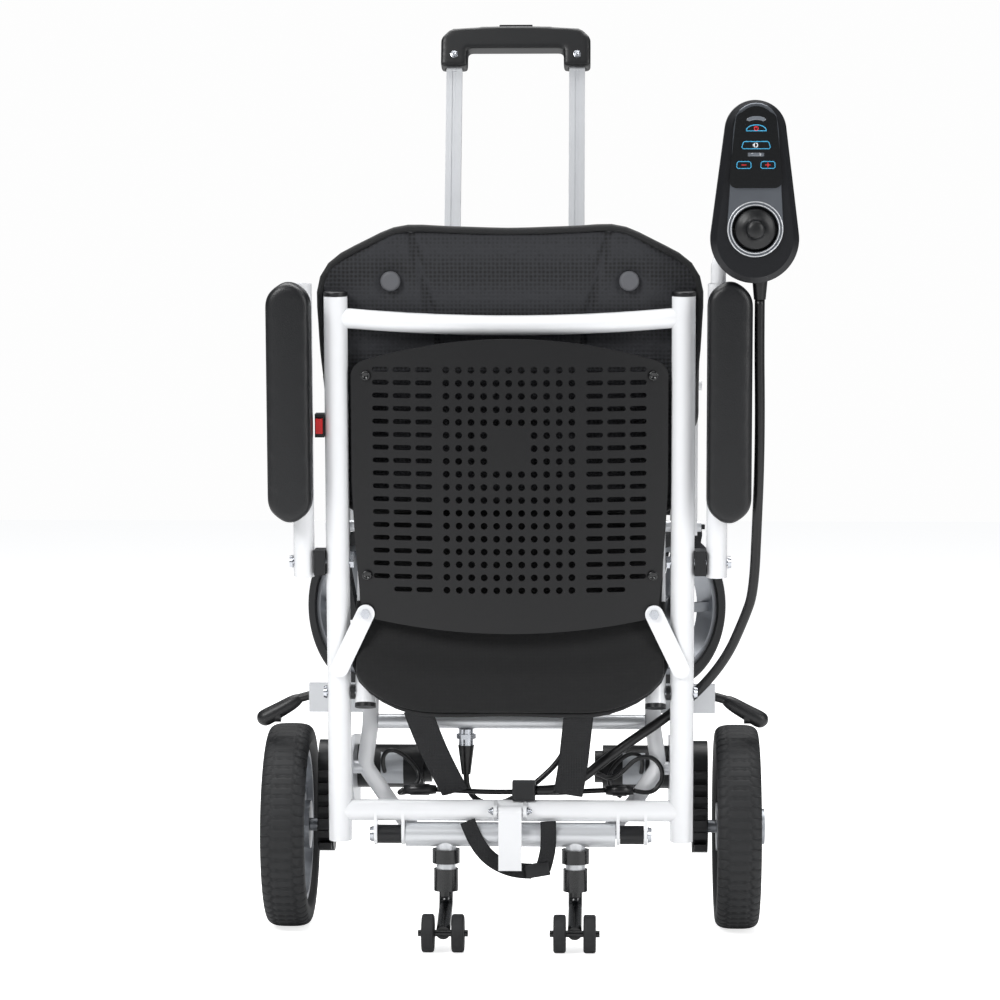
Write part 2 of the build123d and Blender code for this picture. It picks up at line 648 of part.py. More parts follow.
base_tubes = []
solid_tubes = {}
for side in SIDES.values():
    points = [at(base, side * 112, -2, -11), at(base, side * 148, 40, -36),
              at(base, side * (base_x + 7), 86, -14),
              at(base, side * base_x, 132, 0), at(base, side * base_x, LINK_LENGTH + 14, 0)]
    shaped = tube(points, BASE_TUBE, TUBE_WALL, 24)
    solid_tubes[side] = tube(points, BASE_TUBE, bend=24)
    shaped = shaped - rod(-CROSS_HALF, CROSS_HALF, base_pivot.Y, base_pivot.Z, CROSS_TUBE)
    shaped = shaped - rod(-LEG_PIN_HALF, LEG_PIN_HALF, leg_pivot.Y, leg_pivot.Z, LEG_PIN)
    base_tubes.extend(shaped.solids().sort_by(SortBy.VOLUME)[-1:])
save(group([Part() + shape for shape in base_tubes]), "base_tubes")

motors = []
gearboxes = []
plates = []
axle_fit = 8.0 + RUN_FIT
for side in SIDES.values():
    x0, x1 = (side * v for v in MOTOR_SPAN)
    motor = rod(x0, x1, MOTOR_Y, MOTOR_Z, MOTOR_RADIUS)
    motor = motor + rod(x0 - side * 10, x0, MOTOR_Y, MOTOR_Z, MOTOR_RADIUS - 7)
    motors.append(motor)
    x0, x1 = sorted(side * v for v in GEAR_SPAN)
    with BuildPart() as gearbox:
        with BuildSketch(Plane.YZ.offset(x0)):
            with Locations((0, WHEEL_RADIUS), (MOTOR_Y, MOTOR_Z)):
                Circle(GEAR_RADIUS - 3)
            make_hull()
        extrude(amount=x1 - x0)
        with BuildSketch(Plane.YZ.offset(x0)):
            with Locations((0, WHEEL_RADIUS)):
                Circle(axle_fit)
        extrude(amount=x1 - x0, mode=Mode.SUBTRACT)
    ribbed = gearbox.part
    for rib in range(7):
        low = WHEEL_RADIUS - 26 + rib * RIB_PITCH
        ribbed = ribbed + block(Plane.XY, (x0 + 2, x1 - 2), (-GEAR_RADIUS, 12 - GEAR_RADIUS), (low, low + 8))
    gearboxes.append(ribbed)
    with BuildPart() as plate:
        with BuildSketch(Plane.YZ.offset(side * (PLATE_START + 2.5))):
            with BuildLine():
                Polyline((-84, 186), (-84, 226), (-30, 244), (46, 236), (46, 150), (-30, 150), close=True)
            make_face()
            with Locations((MOTOR_Y, MOTOR_Z)):
                Circle(MOTOR_RADIUS, mode=Mode.SUBTRACT)
        extrude(amount=2.5, both=True)
    plates.append(plate.part)
    foot = at(base, 0, 84, -14)
    standoff = rod(side * (base_x + 3), side * PLATE_START, foot.Y, foot.Z, 8.0)
    standoff = standoff - solid_tubes[side]
    plates.append(Part() + standoff.solids().sort_by(SortBy.VOLUME)[-1])
    brake = block(Plane.XY, sorted((side * (base_x + BASE_TUBE), side * 250)), (-62, -56), (276, 312))
    plates.append(brake)
save(group(motors), "motors")
save(group(gearboxes), "gearboxes")
save(group(plates), "drive_plates")

# battery lead: a socket under the middle rail, a plug and a thin cable back to the rail
SOCKET_X = -56.0
LEAD_RADIUS = 3.5
socket_y = rail_place.Y
socket_top = rail_place.Z - 9.0 - SEAT_GAP
PLUG_FOOT = 200.0
with BuildPart() as socket:
    with BuildSketch(Plane.XY.offset(socket_top)):
        with Locations((SOCKET_X, socket_y)):
            Circle(9)
    extrude(amount=-20)
    with BuildSketch(Plane.XY.offset(socket_top - 6)):
        with Locations((SOCKET_X, socket_y)):
            RegularPolygon(12, 6)
    extrude(amount=-6)
save(socket.part, "lead_socket")
with BuildPart() as lead_plug:
    with BuildSketch(Plane.XY.offset(PLUG_FOOT)):
        with Locations((SOCKET_X, socket_y)):
            Circle(5.5)
    with BuildSketch(Plane.XY.offset(socket_top - 20)):
        with Locations((SOCKET_X, socket_y)):
            Circle(10)
    loft()
lead_points = [(-56, socket_y, PLUG_FOOT), (-55, socket_y, 184), (-46, socket_y - 1, 170),
               (-30, socket_y - 2, 163), (-10, socket_y - 3, 165), (12, socket_y - 3, 176),
               (34, socket_y - 2, 193), (54, socket_y - 1, 212), (68, socket_y, 233),
               (71, socket_y, socket_top)]


def cord(points, radius, name):
    """A cord's tube: straight runs joined by arcs as large as the runs allow."""
    spots = [Vector(*point) for point in points]
    radii = []
    for before, here, after in zip(spots, spots[1:], spots[2:]):
        turn = radians((here - before).get_angle(after - here))
        shorter = min((here - before).length, (after - here).length)
        radii.append(0.45 * shorter / tan(turn / 2))
    with BuildPart() as made:
        with BuildLine() as path:
            FilletPolyline(*spots, radius=radii)
        with BuildSketch(Plane(origin=path.line @ 0, z_dir=path.line % 0)):
            Circle(radius)
        sweep(path=path.line)
    print(name, "radii", [round(r) for r in radii], "length", round(path.wires()[0].length))
    print(name, "volume over section times length",
          round(made.part.volume / (3.14159265 * radius ** 2 * path.wires()[0].length), 4))
    return made.part


save(group([lead_plug.part, cord(lead_points, LEAD_RADIUS, "battery_lead")]), "battery_lead")

# ---- brake levers ----------------------------------------------------------------------------
for name, side in SIDES.items():
    lever = tube([(side * 240, -50, 298), (side * 262, -50, 292), (side * 298, -50, 272)], 5.5, bend=12)
    lever = lever + rod(side * 286, side * 304, -50, 271, 9)
    with BuildPart() as eye:
        with BuildSketch(Plane.XZ.offset(44)):
            with Locations((side * 240, 298)):
                Circle(9)
        extrude(amount=12 - SEAT_GAP)
    save(Part() + lever + eye.part, f"brake_lever_{name}")

# ---- drive wheels ------------------------------------------------------------------------------
RIM_RADIUS = 96.0
SPOKES = 5
for name, side in SIDES.items():
    with BuildPart() as tyre:
        with BuildSketch(Plane.XZ):
            with Locations((side * wheel_x, WHEEL_RADIUS + (WHEEL_RADIUS + RIM_RADIUS) / 2)):
                RectangleRounded(WHEEL_WIDTH, WHEEL_RADIUS - RIM_RADIUS, 13)
        revolve(axis=Axis((0, 0, WHEEL_RADIUS), (1, 0, 0)))
    save(tyre.part, f"drive_tyre_{name}")
    with BuildPart() as rim:
        with BuildSketch(Plane.YZ.offset(side * wheel_x - 20)):
            with Locations((0, WHEEL_RADIUS)):
                Circle(RIM_RADIUS)
                Circle(RIM_RADIUS - 8, mode=Mode.SUBTRACT)
        extrude(amount=40)
        with BuildSketch(Plane.YZ.offset(side * wheel_x - 25)):
            with Locations((0, WHEEL_RADIUS)):
                Circle(30)
        extrude(amount=50)
        with BuildSketch(Plane.YZ.offset(side * wheel_x - 12)):
            with Locations((0, WHEEL_RADIUS)):
                with PolarLocations(62, SPOKES, start_angle=90):
                    Rectangle(66, 16)
        extrude(amount=24)
        with BuildSketch(Plane.YZ.offset(side * (wheel_x + 25))):
            with Locations((0, WHEEL_RADIUS)):
                Circle(24)
        extrude(amount=side * 10, taper=12)
        with BuildSketch(Plane.YZ.offset(side * (GEAR_SPAN[0] + 1))):
            with Locations((0, WHEEL_RADIUS)):
                Circle(8)
        extrude(amount=side * 40)
    save(rim.part, f"drive_rim_{name}")

# ---- anti-tip arms and wheels ------------------------------------------------------------------
ANTI_TIP_AXLE = 4.0
ANTI_TIP_WIDTH = 15.0
for name, side in SIDES.items():
    x = side * stub_x
    with BuildPart() as anti_arm:
        with BuildSketch(Plane.XY.offset(96)):
            with Locations((x, stub_y)):
                Circle(17)
        extrude(amount=17)
        with BuildSketch(Plane.XY.offset(62)):
            with Locations((x, stub_y)):
                Circle(15)
        extrude(amount=27)
        with BuildSketch(Plane.XY.offset(STUB_FOOT - SEAT_GAP)):
            with Locations((x, stub_y)):
                Circle(STUB_RADIUS + RUN_FIT)
        extrude(amount=60, mode=Mode.SUBTRACT)
    wheel_y = stub_y - ANTI_TIP_REACH
    bent = tube([(x, stub_y, 63), (x, stub_y, 44), (x, wheel_y, ANTI_TIP_RADIUS)], 8.5, bend=16)
    axle = rod(x - 30, x + 30, wheel_y, ANTI_TIP_RADIUS, ANTI_TIP_AXLE)
    save(Part() + anti_arm.part + bent + axle, f"anti_tip_arm_{name}")
    twins = []
    for turn in (-1, 1):
        middle = x + turn * 18
        wheel = rod(middle - ANTI_TIP_WIDTH / 2, middle + ANTI_TIP_WIDTH / 2, wheel_y, ANTI_TIP_RADIUS,
                    ANTI_TIP_RADIUS, ANTI_TIP_AXLE + RUN_FIT)
        twins.append(fillet(wheel.edges().group_by(SortBy.LENGTH)[-1], 3))
    save(group([Part() + twin for twin in twins]), f"anti_tip_wheels_{name}")

# ---- front legs, footrest and casters ------------------------------------------------------------
LEG_INNER = 204.0
LEG_OUTER = 229.0
HOUSING_FOOT = CASTER_HEIGHT + CASTER_RADIUS + 9
HOUSING_TOP = 560.0
STEM_RADIUS = 8.0
stem_y = leg_pivot.Y + STEM_REACH
HINGE_Z = HOUSING_FOOT + 17
HINGE_Y = stem_y + 13
legs = []
for side in SIDES.values():
    span = sorted((side * LEG_INNER, side * LEG_OUTER))
    with BuildPart() as leg:
        with BuildSketch(Plane.YZ.offset(span[0])):
            with Locations((leg_pivot.Y, leg_pivot.Z), (leg_top.Y, leg_top.Z)):
                Circle(12)
            make_hull()
        extrude(amount=span[1] - span[0])
    shape = leg.part + block(Plane.XY, span, (leg_pivot.Y, stem_y), (532, HOUSING_TOP))
    shape = shape + block(Plane.XY, sorted((side * (stem_x - 17), side * (stem_x + 17))),
                          (stem_y - 18, stem_y + 18), (HOUSING_FOOT, HOUSING_TOP))
    shape = shape - rod(-LEG_PIN_HALF, LEG_PIN_HALF, leg_pivot.Y, leg_pivot.Z, LEG_PIN + RUN_FIT)
    shape = shape - rod(-LEG_PIN_HALF, LEG_PIN_HALF, leg_top.Y, leg_top.Z, LEG_PIN + 0.6)
    shape = shape - rod(side * 190, side * 205.5, HINGE_Y, HINGE_Z, 4 + RUN_FIT)
    with BuildPart() as stem_bore:
        with BuildSketch(Plane.XY.offset(HOUSING_FOOT - 1)):
            with Locations((side * stem_x, stem_y)):
                Circle(STEM_RADIUS + RUN_FIT)
        extrude(amount=46)
    legs.append(shape - stem_bore.part)
save(group(legs), "front_legs")

FOOTREST_HALF = 165.0
FOOTREST_TALL = 136.0
foot_edge = stem_x - 17 - SEAT_GAP
footrest = block(Plane.XY, (-FOOTREST_HALF, FOOTREST_HALF), (HINGE_Y + 6, HINGE_Y + 14),
                 (HINGE_Z + 14, HINGE_Z + FOOTREST_TALL))
for side in SIDES.values():
    lug = block(Plane.XY, sorted((side * (foot_edge - 8), side * foot_edge)), (HINGE_Y - 7, HINGE_Y + 14),
                (HINGE_Z - 7, HINGE_Z + 30))
    tie = block(Plane.XY, sorted((side * (FOOTREST_HALF - 5), side * foot_edge)),
                (HINGE_Y + 6, HINGE_Y + 14), (HINGE_Z + 14, HINGE_Z + 30))
    footrest = footrest + lug + tie + rod(side * (foot_edge - 2), side * (foot_edge + 6), HINGE_Y, HINGE_Z, 4)
save(footrest, "footrest")

CASTER_AXLE = 5.0
CROWN_THICK = 6.0
STEM_LENGTH = 40.0
for name, side in SIDES.items():
    turn = radians(CASTER_TURN)
    caster = Plane(origin=(side * stem_x, stem_y, CASTER_HEIGHT),
                   x_dir=(cos(turn), -side * sin(turn), 0), z_dir=(0, 0, 1))
    crown_foot = CASTER_RADIUS + 2
    with BuildPart(caster) as fork:
        with BuildSketch(caster.offset(crown_foot)):
            with Locations((0, -6)):
                RectangleRounded(CASTER_WIDTH + 22, 40, 8)
        extrude(amount=CROWN_THICK)
        for cheek in (-1, 1):
            x = cheek * (CASTER_WIDTH / 2 + 8)
            with BuildSketch(Plane(origin=caster.from_local_coords((x - 3, 0, 0)),
                                   x_dir=caster.y_dir, z_dir=caster.x_dir)):
                with Locations((-CASTER_TRAIL, 0)):
                    Circle(13)
                with Locations((-8, crown_foot - 6)):
                    Circle(12)
                make_hull()
            extrude(amount=6)
        with BuildSketch(Plane(origin=caster.from_local_coords((-CASTER_WIDTH / 2 - 8, 0, 0)),
                               x_dir=caster.y_dir, z_dir=caster.x_dir)):
            with Locations((-CASTER_TRAIL, 0)):
                Circle(CASTER_AXLE)
        extrude(amount=CASTER_WIDTH + 16)
    with BuildPart(caster.offset(crown_foot + CROWN_THICK)) as stem:
        Cylinder(STEM_RADIUS, STEM_LENGTH, align=(Align.CENTER, Align.CENTER, Align.MIN))
    save(group([fork.part, stem.part]), f"caster_fork_{name}")
    wheel_plane = Plane(origin=caster.from_local_coords((-CASTER_WIDTH / 2, -CASTER_TRAIL, 0)),
                        x_dir=caster.y_dir, z_dir=caster.x_dir)
    with BuildPart() as caster_tyre:
        with BuildSketch(wheel_plane):
            Circle(CASTER_RADIUS)
            Circle(CASTER_RADIUS - 18, mode=Mode.SUBTRACT)
        extrude(amount=CASTER_WIDTH)
        fillet(caster_tyre.edges().group_by(SortBy.LENGTH)[-1], 8)
    save(caster_tyre.part, f"caster_tyre_{name}")
    with BuildPart() as caster_rim:
        with BuildSketch(wheel_plane.offset(4)):
            Circle(CASTER_RADIUS - 18)
            Circle(CASTER_RADIUS - 25, mode=Mode.SUBTRACT)
        extrude(amount=CASTER_WIDTH - 8)
        with BuildSketch(wheel_plane.offset(2)):
            Circle(18)
        extrude(amount=CASTER_WIDTH - 4)
        with BuildSketch(wheel_plane.offset(12)):
            with PolarLocations(46, SPOKES):
                Rectangle(64, 12)
        extrude(amount=CASTER_WIDTH - 24)
        with BuildSketch(wheel_plane):
            Circle(CASTER_AXLE + RUN_FIT)
        extrude(amount=CASTER_WIDTH, mode=Mode.SUBTRACT)
    save(caster_rim.part, f"caster_rim_{name}")

# ---- armrests ------------------------------------------------------------------------------------
ARM_FOOT = 18.0
PAD_START = 52.0
PAD_SHIFT = 13.0
joystick_x = 290.0
JOYSTICK_LOW = 676.0
JOYSTICK_REAR = 13.0
for name, side in SIDES.items():
    x = side * arm_x
    with BuildPart() as arm_tube:
        with BuildSketch(Plane(origin=at(back, x, ARM_RISE - ARM_FOOT, 0), z_dir=back.y_dir)):
            Circle(ARM_TUBE)
            Circle(ARM_TUBE - TUBE_WALL, mode=Mode.SUBTRACT)
        extrude(amount=ARM_FOOT + ARM_LENGTH)
        with Locations(Location(arm_pivot + Vector(x, 0, 0), (0, 90, 0))):
            Cylinder(SEAT_BOLT + RUN_FIT, 4 * ARM_TUBE, mode=Mode.SUBTRACT)
    save(arm_tube.part, f"arm_tube_{name}")
    with BuildPart() as arm_pad:
        with BuildSketch(back.offset(ARM_TUBE + SEAT_GAP)):
            with Locations((x + side * PAD_SHIFT, ARM_RISE + PAD_START + PAD_LENGTH / 2)):
                RectangleRounded(PAD_WIDTH, PAD_LENGTH, 20)
        extrude(amount=PAD_DEPTH)
        fillet(arm_pad.edges().group_by(Axis((0, 0, 0), -back.z_dir))[0], 8)
    save(arm_pad.part, f"arm_pad_{name}")

# ---- joystick -----------------------------------------------------------------------------------
BODY_DEEP = 34.0
FACE_DEEP = 3.0
low_circle = (joystick_x, JOYSTICK_LOW + 52)
high_circle = (joystick_x, JOYSTICK_LOW + 178)
JOYSTICK_TUBE = 9.0
arm_end = ARM_RISE + ARM_LENGTH
joystick_arm = tube([at(back, arm_x, arm_end + SEAT_GAP, 0), at(back, arm_x, arm_end + 26, 0),
                     at(back, joystick_x, arm_end + 66, 0), at(back, joystick_x, arm_end + 100, 0)],
                    JOYSTICK_TUBE, bend=18)
arm_foot = block(back, (joystick_x - 12, joystick_x + 12), (arm_end + 60, arm_end + 104),
                 (0, JOYSTICK_REAR - SEAT_GAP))
save(joystick_arm + arm_foot, "joystick_arm")


def egg(shrink):
    with BuildSketch() as outline:
        with Locations(low_circle):
            Circle(52 - shrink)
        with Locations(high_circle):
            Circle(36 - shrink)
        make_hull()
    return outline.sketch


STICK_RISE = 740.0
with BuildPart() as joystick_body:
    with BuildSketch(back.offset(JOYSTICK_REAR)):
        add(egg(6))
    with BuildSketch(back.offset(JOYSTICK_REAR + 10)):
        add(egg(0))
    loft()
    with BuildSketch(back.offset(JOYSTICK_REAR + 10)):
        add(egg(0))
    extrude(amount=BODY_DEEP - 16)
    with BuildSketch(back.offset(JOYSTICK_REAR + BODY_DEEP - 6)):
        add(egg(0))
    with BuildSketch(back.offset(JOYSTICK_REAR + BODY_DEEP)):
        add(egg(7))
    loft()
    with BuildSketch(back.offset(JOYSTICK_REAR + BODY_DEEP)):
        with Locations((joystick_x, STICK_RISE)):
            Circle(27)
    extrude(amount=-23, mode=Mode.SUBTRACT)
save(joystick_body.part, "joystick_body")

face_top = JOYSTICK_REAR + BODY_DEEP + FACE_DEEP
with BuildPart() as joystick_face:
    with BuildSketch(back.offset(JOYSTICK_REAR + BODY_DEEP)):
        add(egg(11))
        with Locations((joystick_x, STICK_RISE)):
            Circle(27, mode=Mode.SUBTRACT)
    extrude(amount=FACE_DEEP)
    with BuildSketch(back.offset(face_top)):
        with Locations((joystick_x, STICK_RISE)):
            Circle(33)
            Circle(27, mode=Mode.SUBTRACT)
    extrude(amount=2)
save(joystick_face.part, "joystick_face")

KEY_TRAVEL = 0.8
PANEL_DEEP = 3.0
keys = {"power_key": (0, 858, 26, 9), "horn_key": (0, 838, 36, 10),
        "minus_key": (-14, 815, 19, 10), "plus_key": (14, 815, 19, 10)}
with BuildPart() as keypad_panel:
    with BuildSketch(back.offset(face_top + 0.05)) as panel_outline:
        with BuildLine():
            Polyline((joystick_x - 32, 788), (joystick_x + 32, 788), (joystick_x + 23, 876),
                     (joystick_x - 23, 876), close=True)
        make_face()
        fillet(panel_outline.vertices(), 9)
        for x, y, wide, tall in keys.values():
            with Locations((joystick_x + x, y)):
                Rectangle(wide, tall, mode=Mode.SUBTRACT)
    extrude(amount=PANEL_DEEP)
save(keypad_panel.part, "keypad_panel")
for name, (x, y, wide, tall) in keys.items():
    fit = 0.2
    save(block(back, (joystick_x + x - wide / 2 + fit, joystick_x + x + wide / 2 - fit),
               (y - tall / 2 + fit, y + tall / 2 - fit),
               (face_top + 0.05 + KEY_TRAVEL + 0.1, face_top + PANEL_DEEP + KEY_TRAVEL)), name)

stick_centre = at(back, joystick_x, STICK_RISE, JOYSTICK_REAR + BODY_DEEP - 8)
with BuildPart() as gimbal:
    with BuildSketch(back.offset(JOYSTICK_REAR + BODY_DEEP - 11)):
        with Locations((joystick_x, STICK_RISE)):
            Circle(18)
            Circle(14, mode=Mode.SUBTRACT)
    extrude(amount=6)
    with BuildSketch(Plane.YZ.offset(joystick_x - 26.7)):
        with Locations((stick_centre.Y, stick_centre.Z)):
            Circle(2)
    extrude(amount=10)
    with BuildSketch(Plane.YZ.offset(joystick_x + 17)):
        with Locations((stick_centre.Y, stick_centre.Z)):
            Circle(2)
    extrude(amount=9.7)
save(gimbal.part, "joystick_gimbal")

with BuildPart() as stick:
    with Locations(stick_centre):
        Sphere(14 - SEAT_GAP)
    with BuildSketch(back.offset(JOYSTICK_REAR + BODY_DEEP - 2)):
        with Locations((joystick_x, STICK_RISE)):
            Circle(5)
    extrude(amount=18)
    with BuildSketch(back.offset(JOYSTICK_REAR + BODY_DEEP + 8)):
        with Locations((joystick_x, STICK_RISE)):
            Circle(19)
    extrude(amount=10, taper=20)
save(stick.part, "joystick_stick")

# ---- joystick cable: the upper run moves with the armrest, the lower one with the back frame -------
CABLE_X = 297.0
CABLE_GAP = 6.5               # each run ends this far from the arm's pivot, so that it can turn
gland_top = at(back, CABLE_X, JOYSTICK_LOW + 2, JOYSTICK_REAR + 14)
with BuildPart() as cable_gland:
    with BuildSketch(Plane(origin=gland_top, x_dir=(1, 0, 0), z_dir=-back.y_dir)):
        Circle(9)
    with BuildSketch(Plane(origin=at(back, CABLE_X, JOYSTICK_LOW - 20, JOYSTICK_REAR + 14), x_dir=(1, 0, 0),
                           z_dir=-back.y_dir)):
        Circle(7)
    loft()
save(cable_gland.part - joystick_body.part, "cable_gland")
upper = [at(back, CABLE_X, JOYSTICK_LOW - 20, JOYSTICK_REAR + 14), at(back, CABLE_X, 600, JOYSTICK_REAR + 13),
         at(back, CABLE_X + 1.5, 525, JOYSTICK_REAR + 10), at(back, CABLE_X + 1.5, 455, JOYSTICK_REAR + 5),
         at(back, CABLE_X, 390, 6), at(back, CABLE_X - 1, ARM_RISE + CABLE_GAP, 2)]
save(cord(upper, CABLE_RADIUS, "joystick_cable_upper"), "joystick_cable_upper")
junction_y = bar_low.Y + 3
junction_z = junction_floor + 11
lower = [at(back, CABLE_X - 1, ARM_RISE - CABLE_GAP, 2), at(back, CABLE_X - 3, ARM_RISE - 36, 0),
         (283, -119, 398), (262, -106, 348), (226, -94, 304), (184, -90, 270), (148, -90, 246),
         (114, -92, 221), (88, -95, 200), (62, junction_y, junction_z), (JUNCTION_X[1], junction_y, junction_z)]
save(cord(lower, CABLE_RADIUS, "joystick_cable_lower"), "joystick_cable_lower")
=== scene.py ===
"""Folding power wheelchair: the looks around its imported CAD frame. Everything is in metres."""
import json
from math import atan2, cos, pi, radians, sin, sqrt

import bmesh
import bpy
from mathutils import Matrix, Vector


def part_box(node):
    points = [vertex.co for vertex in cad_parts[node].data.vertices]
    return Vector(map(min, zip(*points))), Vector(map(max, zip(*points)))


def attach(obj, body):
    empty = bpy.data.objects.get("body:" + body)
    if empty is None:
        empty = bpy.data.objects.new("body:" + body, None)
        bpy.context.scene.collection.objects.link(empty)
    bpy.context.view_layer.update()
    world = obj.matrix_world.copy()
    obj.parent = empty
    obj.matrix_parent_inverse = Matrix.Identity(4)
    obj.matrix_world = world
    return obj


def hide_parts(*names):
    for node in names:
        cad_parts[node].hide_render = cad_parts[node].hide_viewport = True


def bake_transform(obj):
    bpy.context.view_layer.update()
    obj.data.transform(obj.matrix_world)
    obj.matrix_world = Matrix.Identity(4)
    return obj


bl_info = {
    "name": "Folding power wheelchair",
    "version": (1, 0, 0),
    "blender": (4, 5, 0),
    "location": "View3D > Sidebar > Wheelchair",
    "description": "Finishes, soft goods and small parts of a folding power wheelchair",
    "category": "Object",
}

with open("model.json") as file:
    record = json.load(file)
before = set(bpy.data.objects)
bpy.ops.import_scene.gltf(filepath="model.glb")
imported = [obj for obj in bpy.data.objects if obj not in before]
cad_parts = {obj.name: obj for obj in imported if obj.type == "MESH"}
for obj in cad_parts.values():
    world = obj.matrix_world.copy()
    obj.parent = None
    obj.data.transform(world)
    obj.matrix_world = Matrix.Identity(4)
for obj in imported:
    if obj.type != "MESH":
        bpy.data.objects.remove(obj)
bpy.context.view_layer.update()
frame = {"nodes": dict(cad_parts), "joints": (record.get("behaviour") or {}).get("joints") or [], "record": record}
MM = 0.001
JOINTS = {joint["name"]: joint for joint in frame["joints"]}
SIDES = {"left": -1, "right": 1}

# ---- the chair's own directions, as in its frame -------------------------------------------------
LEAN = radians(5.0)
FOLD = radians(75.0)
BASE_PIVOT = Vector(JOINTS["base_fold"]["pos_m"])
SEAT_PIVOT = Vector(JOINTS["seat_fold"]["pos_m"])
BACK_UP = Vector((0, -sin(LEAN), cos(LEAN)))
BACK_REAR = Vector((0, -cos(LEAN), -sin(LEAN)))
LINK_UP = Vector((0, cos(FOLD), sin(FOLD)))
LINK_REAR = Vector((0, -sin(FOLD), cos(FOLD)))
RIGHT = Vector((1, 0, 0))


def on_back(x, up, rear):
    """A point given in mm across, up and behind the back tubes."""
    return BASE_PIVOT + (RIGHT * x + BACK_UP * up + BACK_REAR * rear) * MM


def on_seat(x, along, above):
    """A point given in mm across, along and above the seat tubes."""
    return SEAT_PIVOT + (RIGHT * x + LINK_UP * along + LINK_REAR * above) * MM


def middle(node):
    """The middle of a node's box."""
    low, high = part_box(node)
    return (Vector(low) + Vector(high)) / 2


# ---- settings ------------------------------------------------------------------------------------
class FinishSettings(bpy.types.PropertyGroup):
    """Colours and surface scales that a user would change."""
    paint: bpy.props.StringProperty(
        name="Frame paint", description="sRGB hex of the powder coat", default="EBECEE")
    shell: bpy.props.StringProperty(
        name="Shell", description="sRGB hex of the moulded shell", default="0B0B0D")
    fabric: bpy.props.StringProperty(
        name="Fabric", description="sRGB hex of the woven fabric", default="0E0F11")
    mesh_pitch: bpy.props.FloatProperty(
        name="Mesh pitch", description="Distance between holes of the air mesh",
        default=5.0 * MM, unit="LENGTH")


class SoftSettings(bpy.types.PropertyGroup):
    """How the cushions are filled."""
    voxel: bpy.props.FloatProperty(
        name="Voxel", description="Mesh size of the simulated cover", default=6 * MM, unit="LENGTH")
    pressure: bpy.props.FloatProperty(
        name="Pressure", description="Filling pressure of the cover", default=4.0)
    puff: bpy.props.FloatProperty(
        name="Puff", description="The most that the cover may move", default=9 * MM, unit="LENGTH")


class TyreSettings(bpy.types.PropertyGroup):
    """The drive tyres' tread."""
    groove: bpy.props.FloatProperty(
        name="Groove depth", description="Depth of the zigzag grooves", default=2.2 * MM, unit="LENGTH")
    blocks: bpy.props.IntProperty(
        name="Blocks", description="Tread blocks round the tyre", default=60)


class CableSettings(bpy.types.PropertyGroup):
    """The joystick's cable."""
    diameter: bpy.props.FloatProperty(
        name="Diameter", description="Outside diameter", default=12 * MM, unit="LENGTH")


# ---- materials -----------------------------------------------------------------------------------
PATCHES_PER_METRE = 14.0
GRAIN_RELIEF = 0.4
THREAD_RELIEF = 0.35
FUZZ = 0.5 * MM
# a wave texture of scale s repeats every 0.314 / s metres
WAVE_REPEAT = 0.314
FLOOR_GLOW = 0.76
FINISHES = {}


def linear(code):
    """Linear colour of an sRGB hex value."""
    values = [int(code[i:i + 2], 16) / 255 for i in (0, 2, 4)]
    return [v / 12.92 if v <= 0.04045 else ((v + 0.055) / 1.055) ** 2.4 for v in values] + [1.0]


def add_node(tree, kind, settings=None, links=None):
    """Add a node, set its inputs or its own settings by name, and link sockets into it."""
    made = tree.nodes.new(kind)
    for key, value in (settings or {}).items():
        if key in made.inputs:
            made.inputs[key].default_value = value
        else:
            setattr(made, key, value)
    for key, socket in (links or {}).items():
        tree.links.new(socket, made.inputs[key])
    return made


def surface(name, colour, roughness, metallic=0.0, grain=1.0, bump=0.1, vary=0.12, rough_vary=0.08,
            stretch=(1, 1, 1), **shader):
    """A finish with a fine grain, a little colour variation and uneven gloss. grain is in mm."""
    material = bpy.data.materials.new(name)
    material.use_nodes = True
    tree = material.node_tree
    tree.nodes.clear()
    where = add_node(tree, "ShaderNodeTexCoord").outputs["Object"]
    mapped = add_node(tree, "ShaderNodeMapping", {"Scale": stretch}, {"Vector": where}).outputs[0]
    fine = add_node(tree, "ShaderNodeTexNoise", {"Scale": 1 / (grain * MM), "Detail": 3.0},
                    {"Vector": mapped})
    broad = add_node(tree, "ShaderNodeTexNoise", {"Scale": PATCHES_PER_METRE, "Detail": 5.0},
                     {"Vector": where})
    base = linear(colour)
    dark = [c * (1 - vary) for c in base[:3]] + [1.0]
    light = [min(1.0, c * (1 + vary)) for c in base[:3]] + [1.0]
    tint = add_node(tree, "ShaderNodeValToRGB", None, {"Fac": broad.outputs["Fac"]})
    tint.color_ramp.elements[0].position = 0.3
    tint.color_ramp.elements[0].color = dark
    tint.color_ramp.elements[1].position = 0.7
    tint.color_ramp.elements[1].color = light
    gloss = add_node(tree, "ShaderNodeMapRange",
                     {"To Min": max(0.02, roughness - rough_vary),
                      "To Max": min(1.0, roughness + rough_vary)},
                     {"Value": fine.outputs["Fac"]})
    relief = add_node(tree, "ShaderNodeBump", {"Strength": bump, "Distance": GRAIN_RELIEF * grain * MM},
                      {"Height": fine.outputs["Fac"]})
    shading = add_node(tree, "ShaderNodeBsdfPrincipled", {"Metallic": metallic, **shader},
                       {"Base Color": tint.outputs["Color"], "Roughness": gloss.outputs["Result"],
                        "Normal": relief.outputs["Normal"]})
    add_node(tree, "ShaderNodeOutputMaterial", None, {"Surface": shading.outputs[0]})
    return material


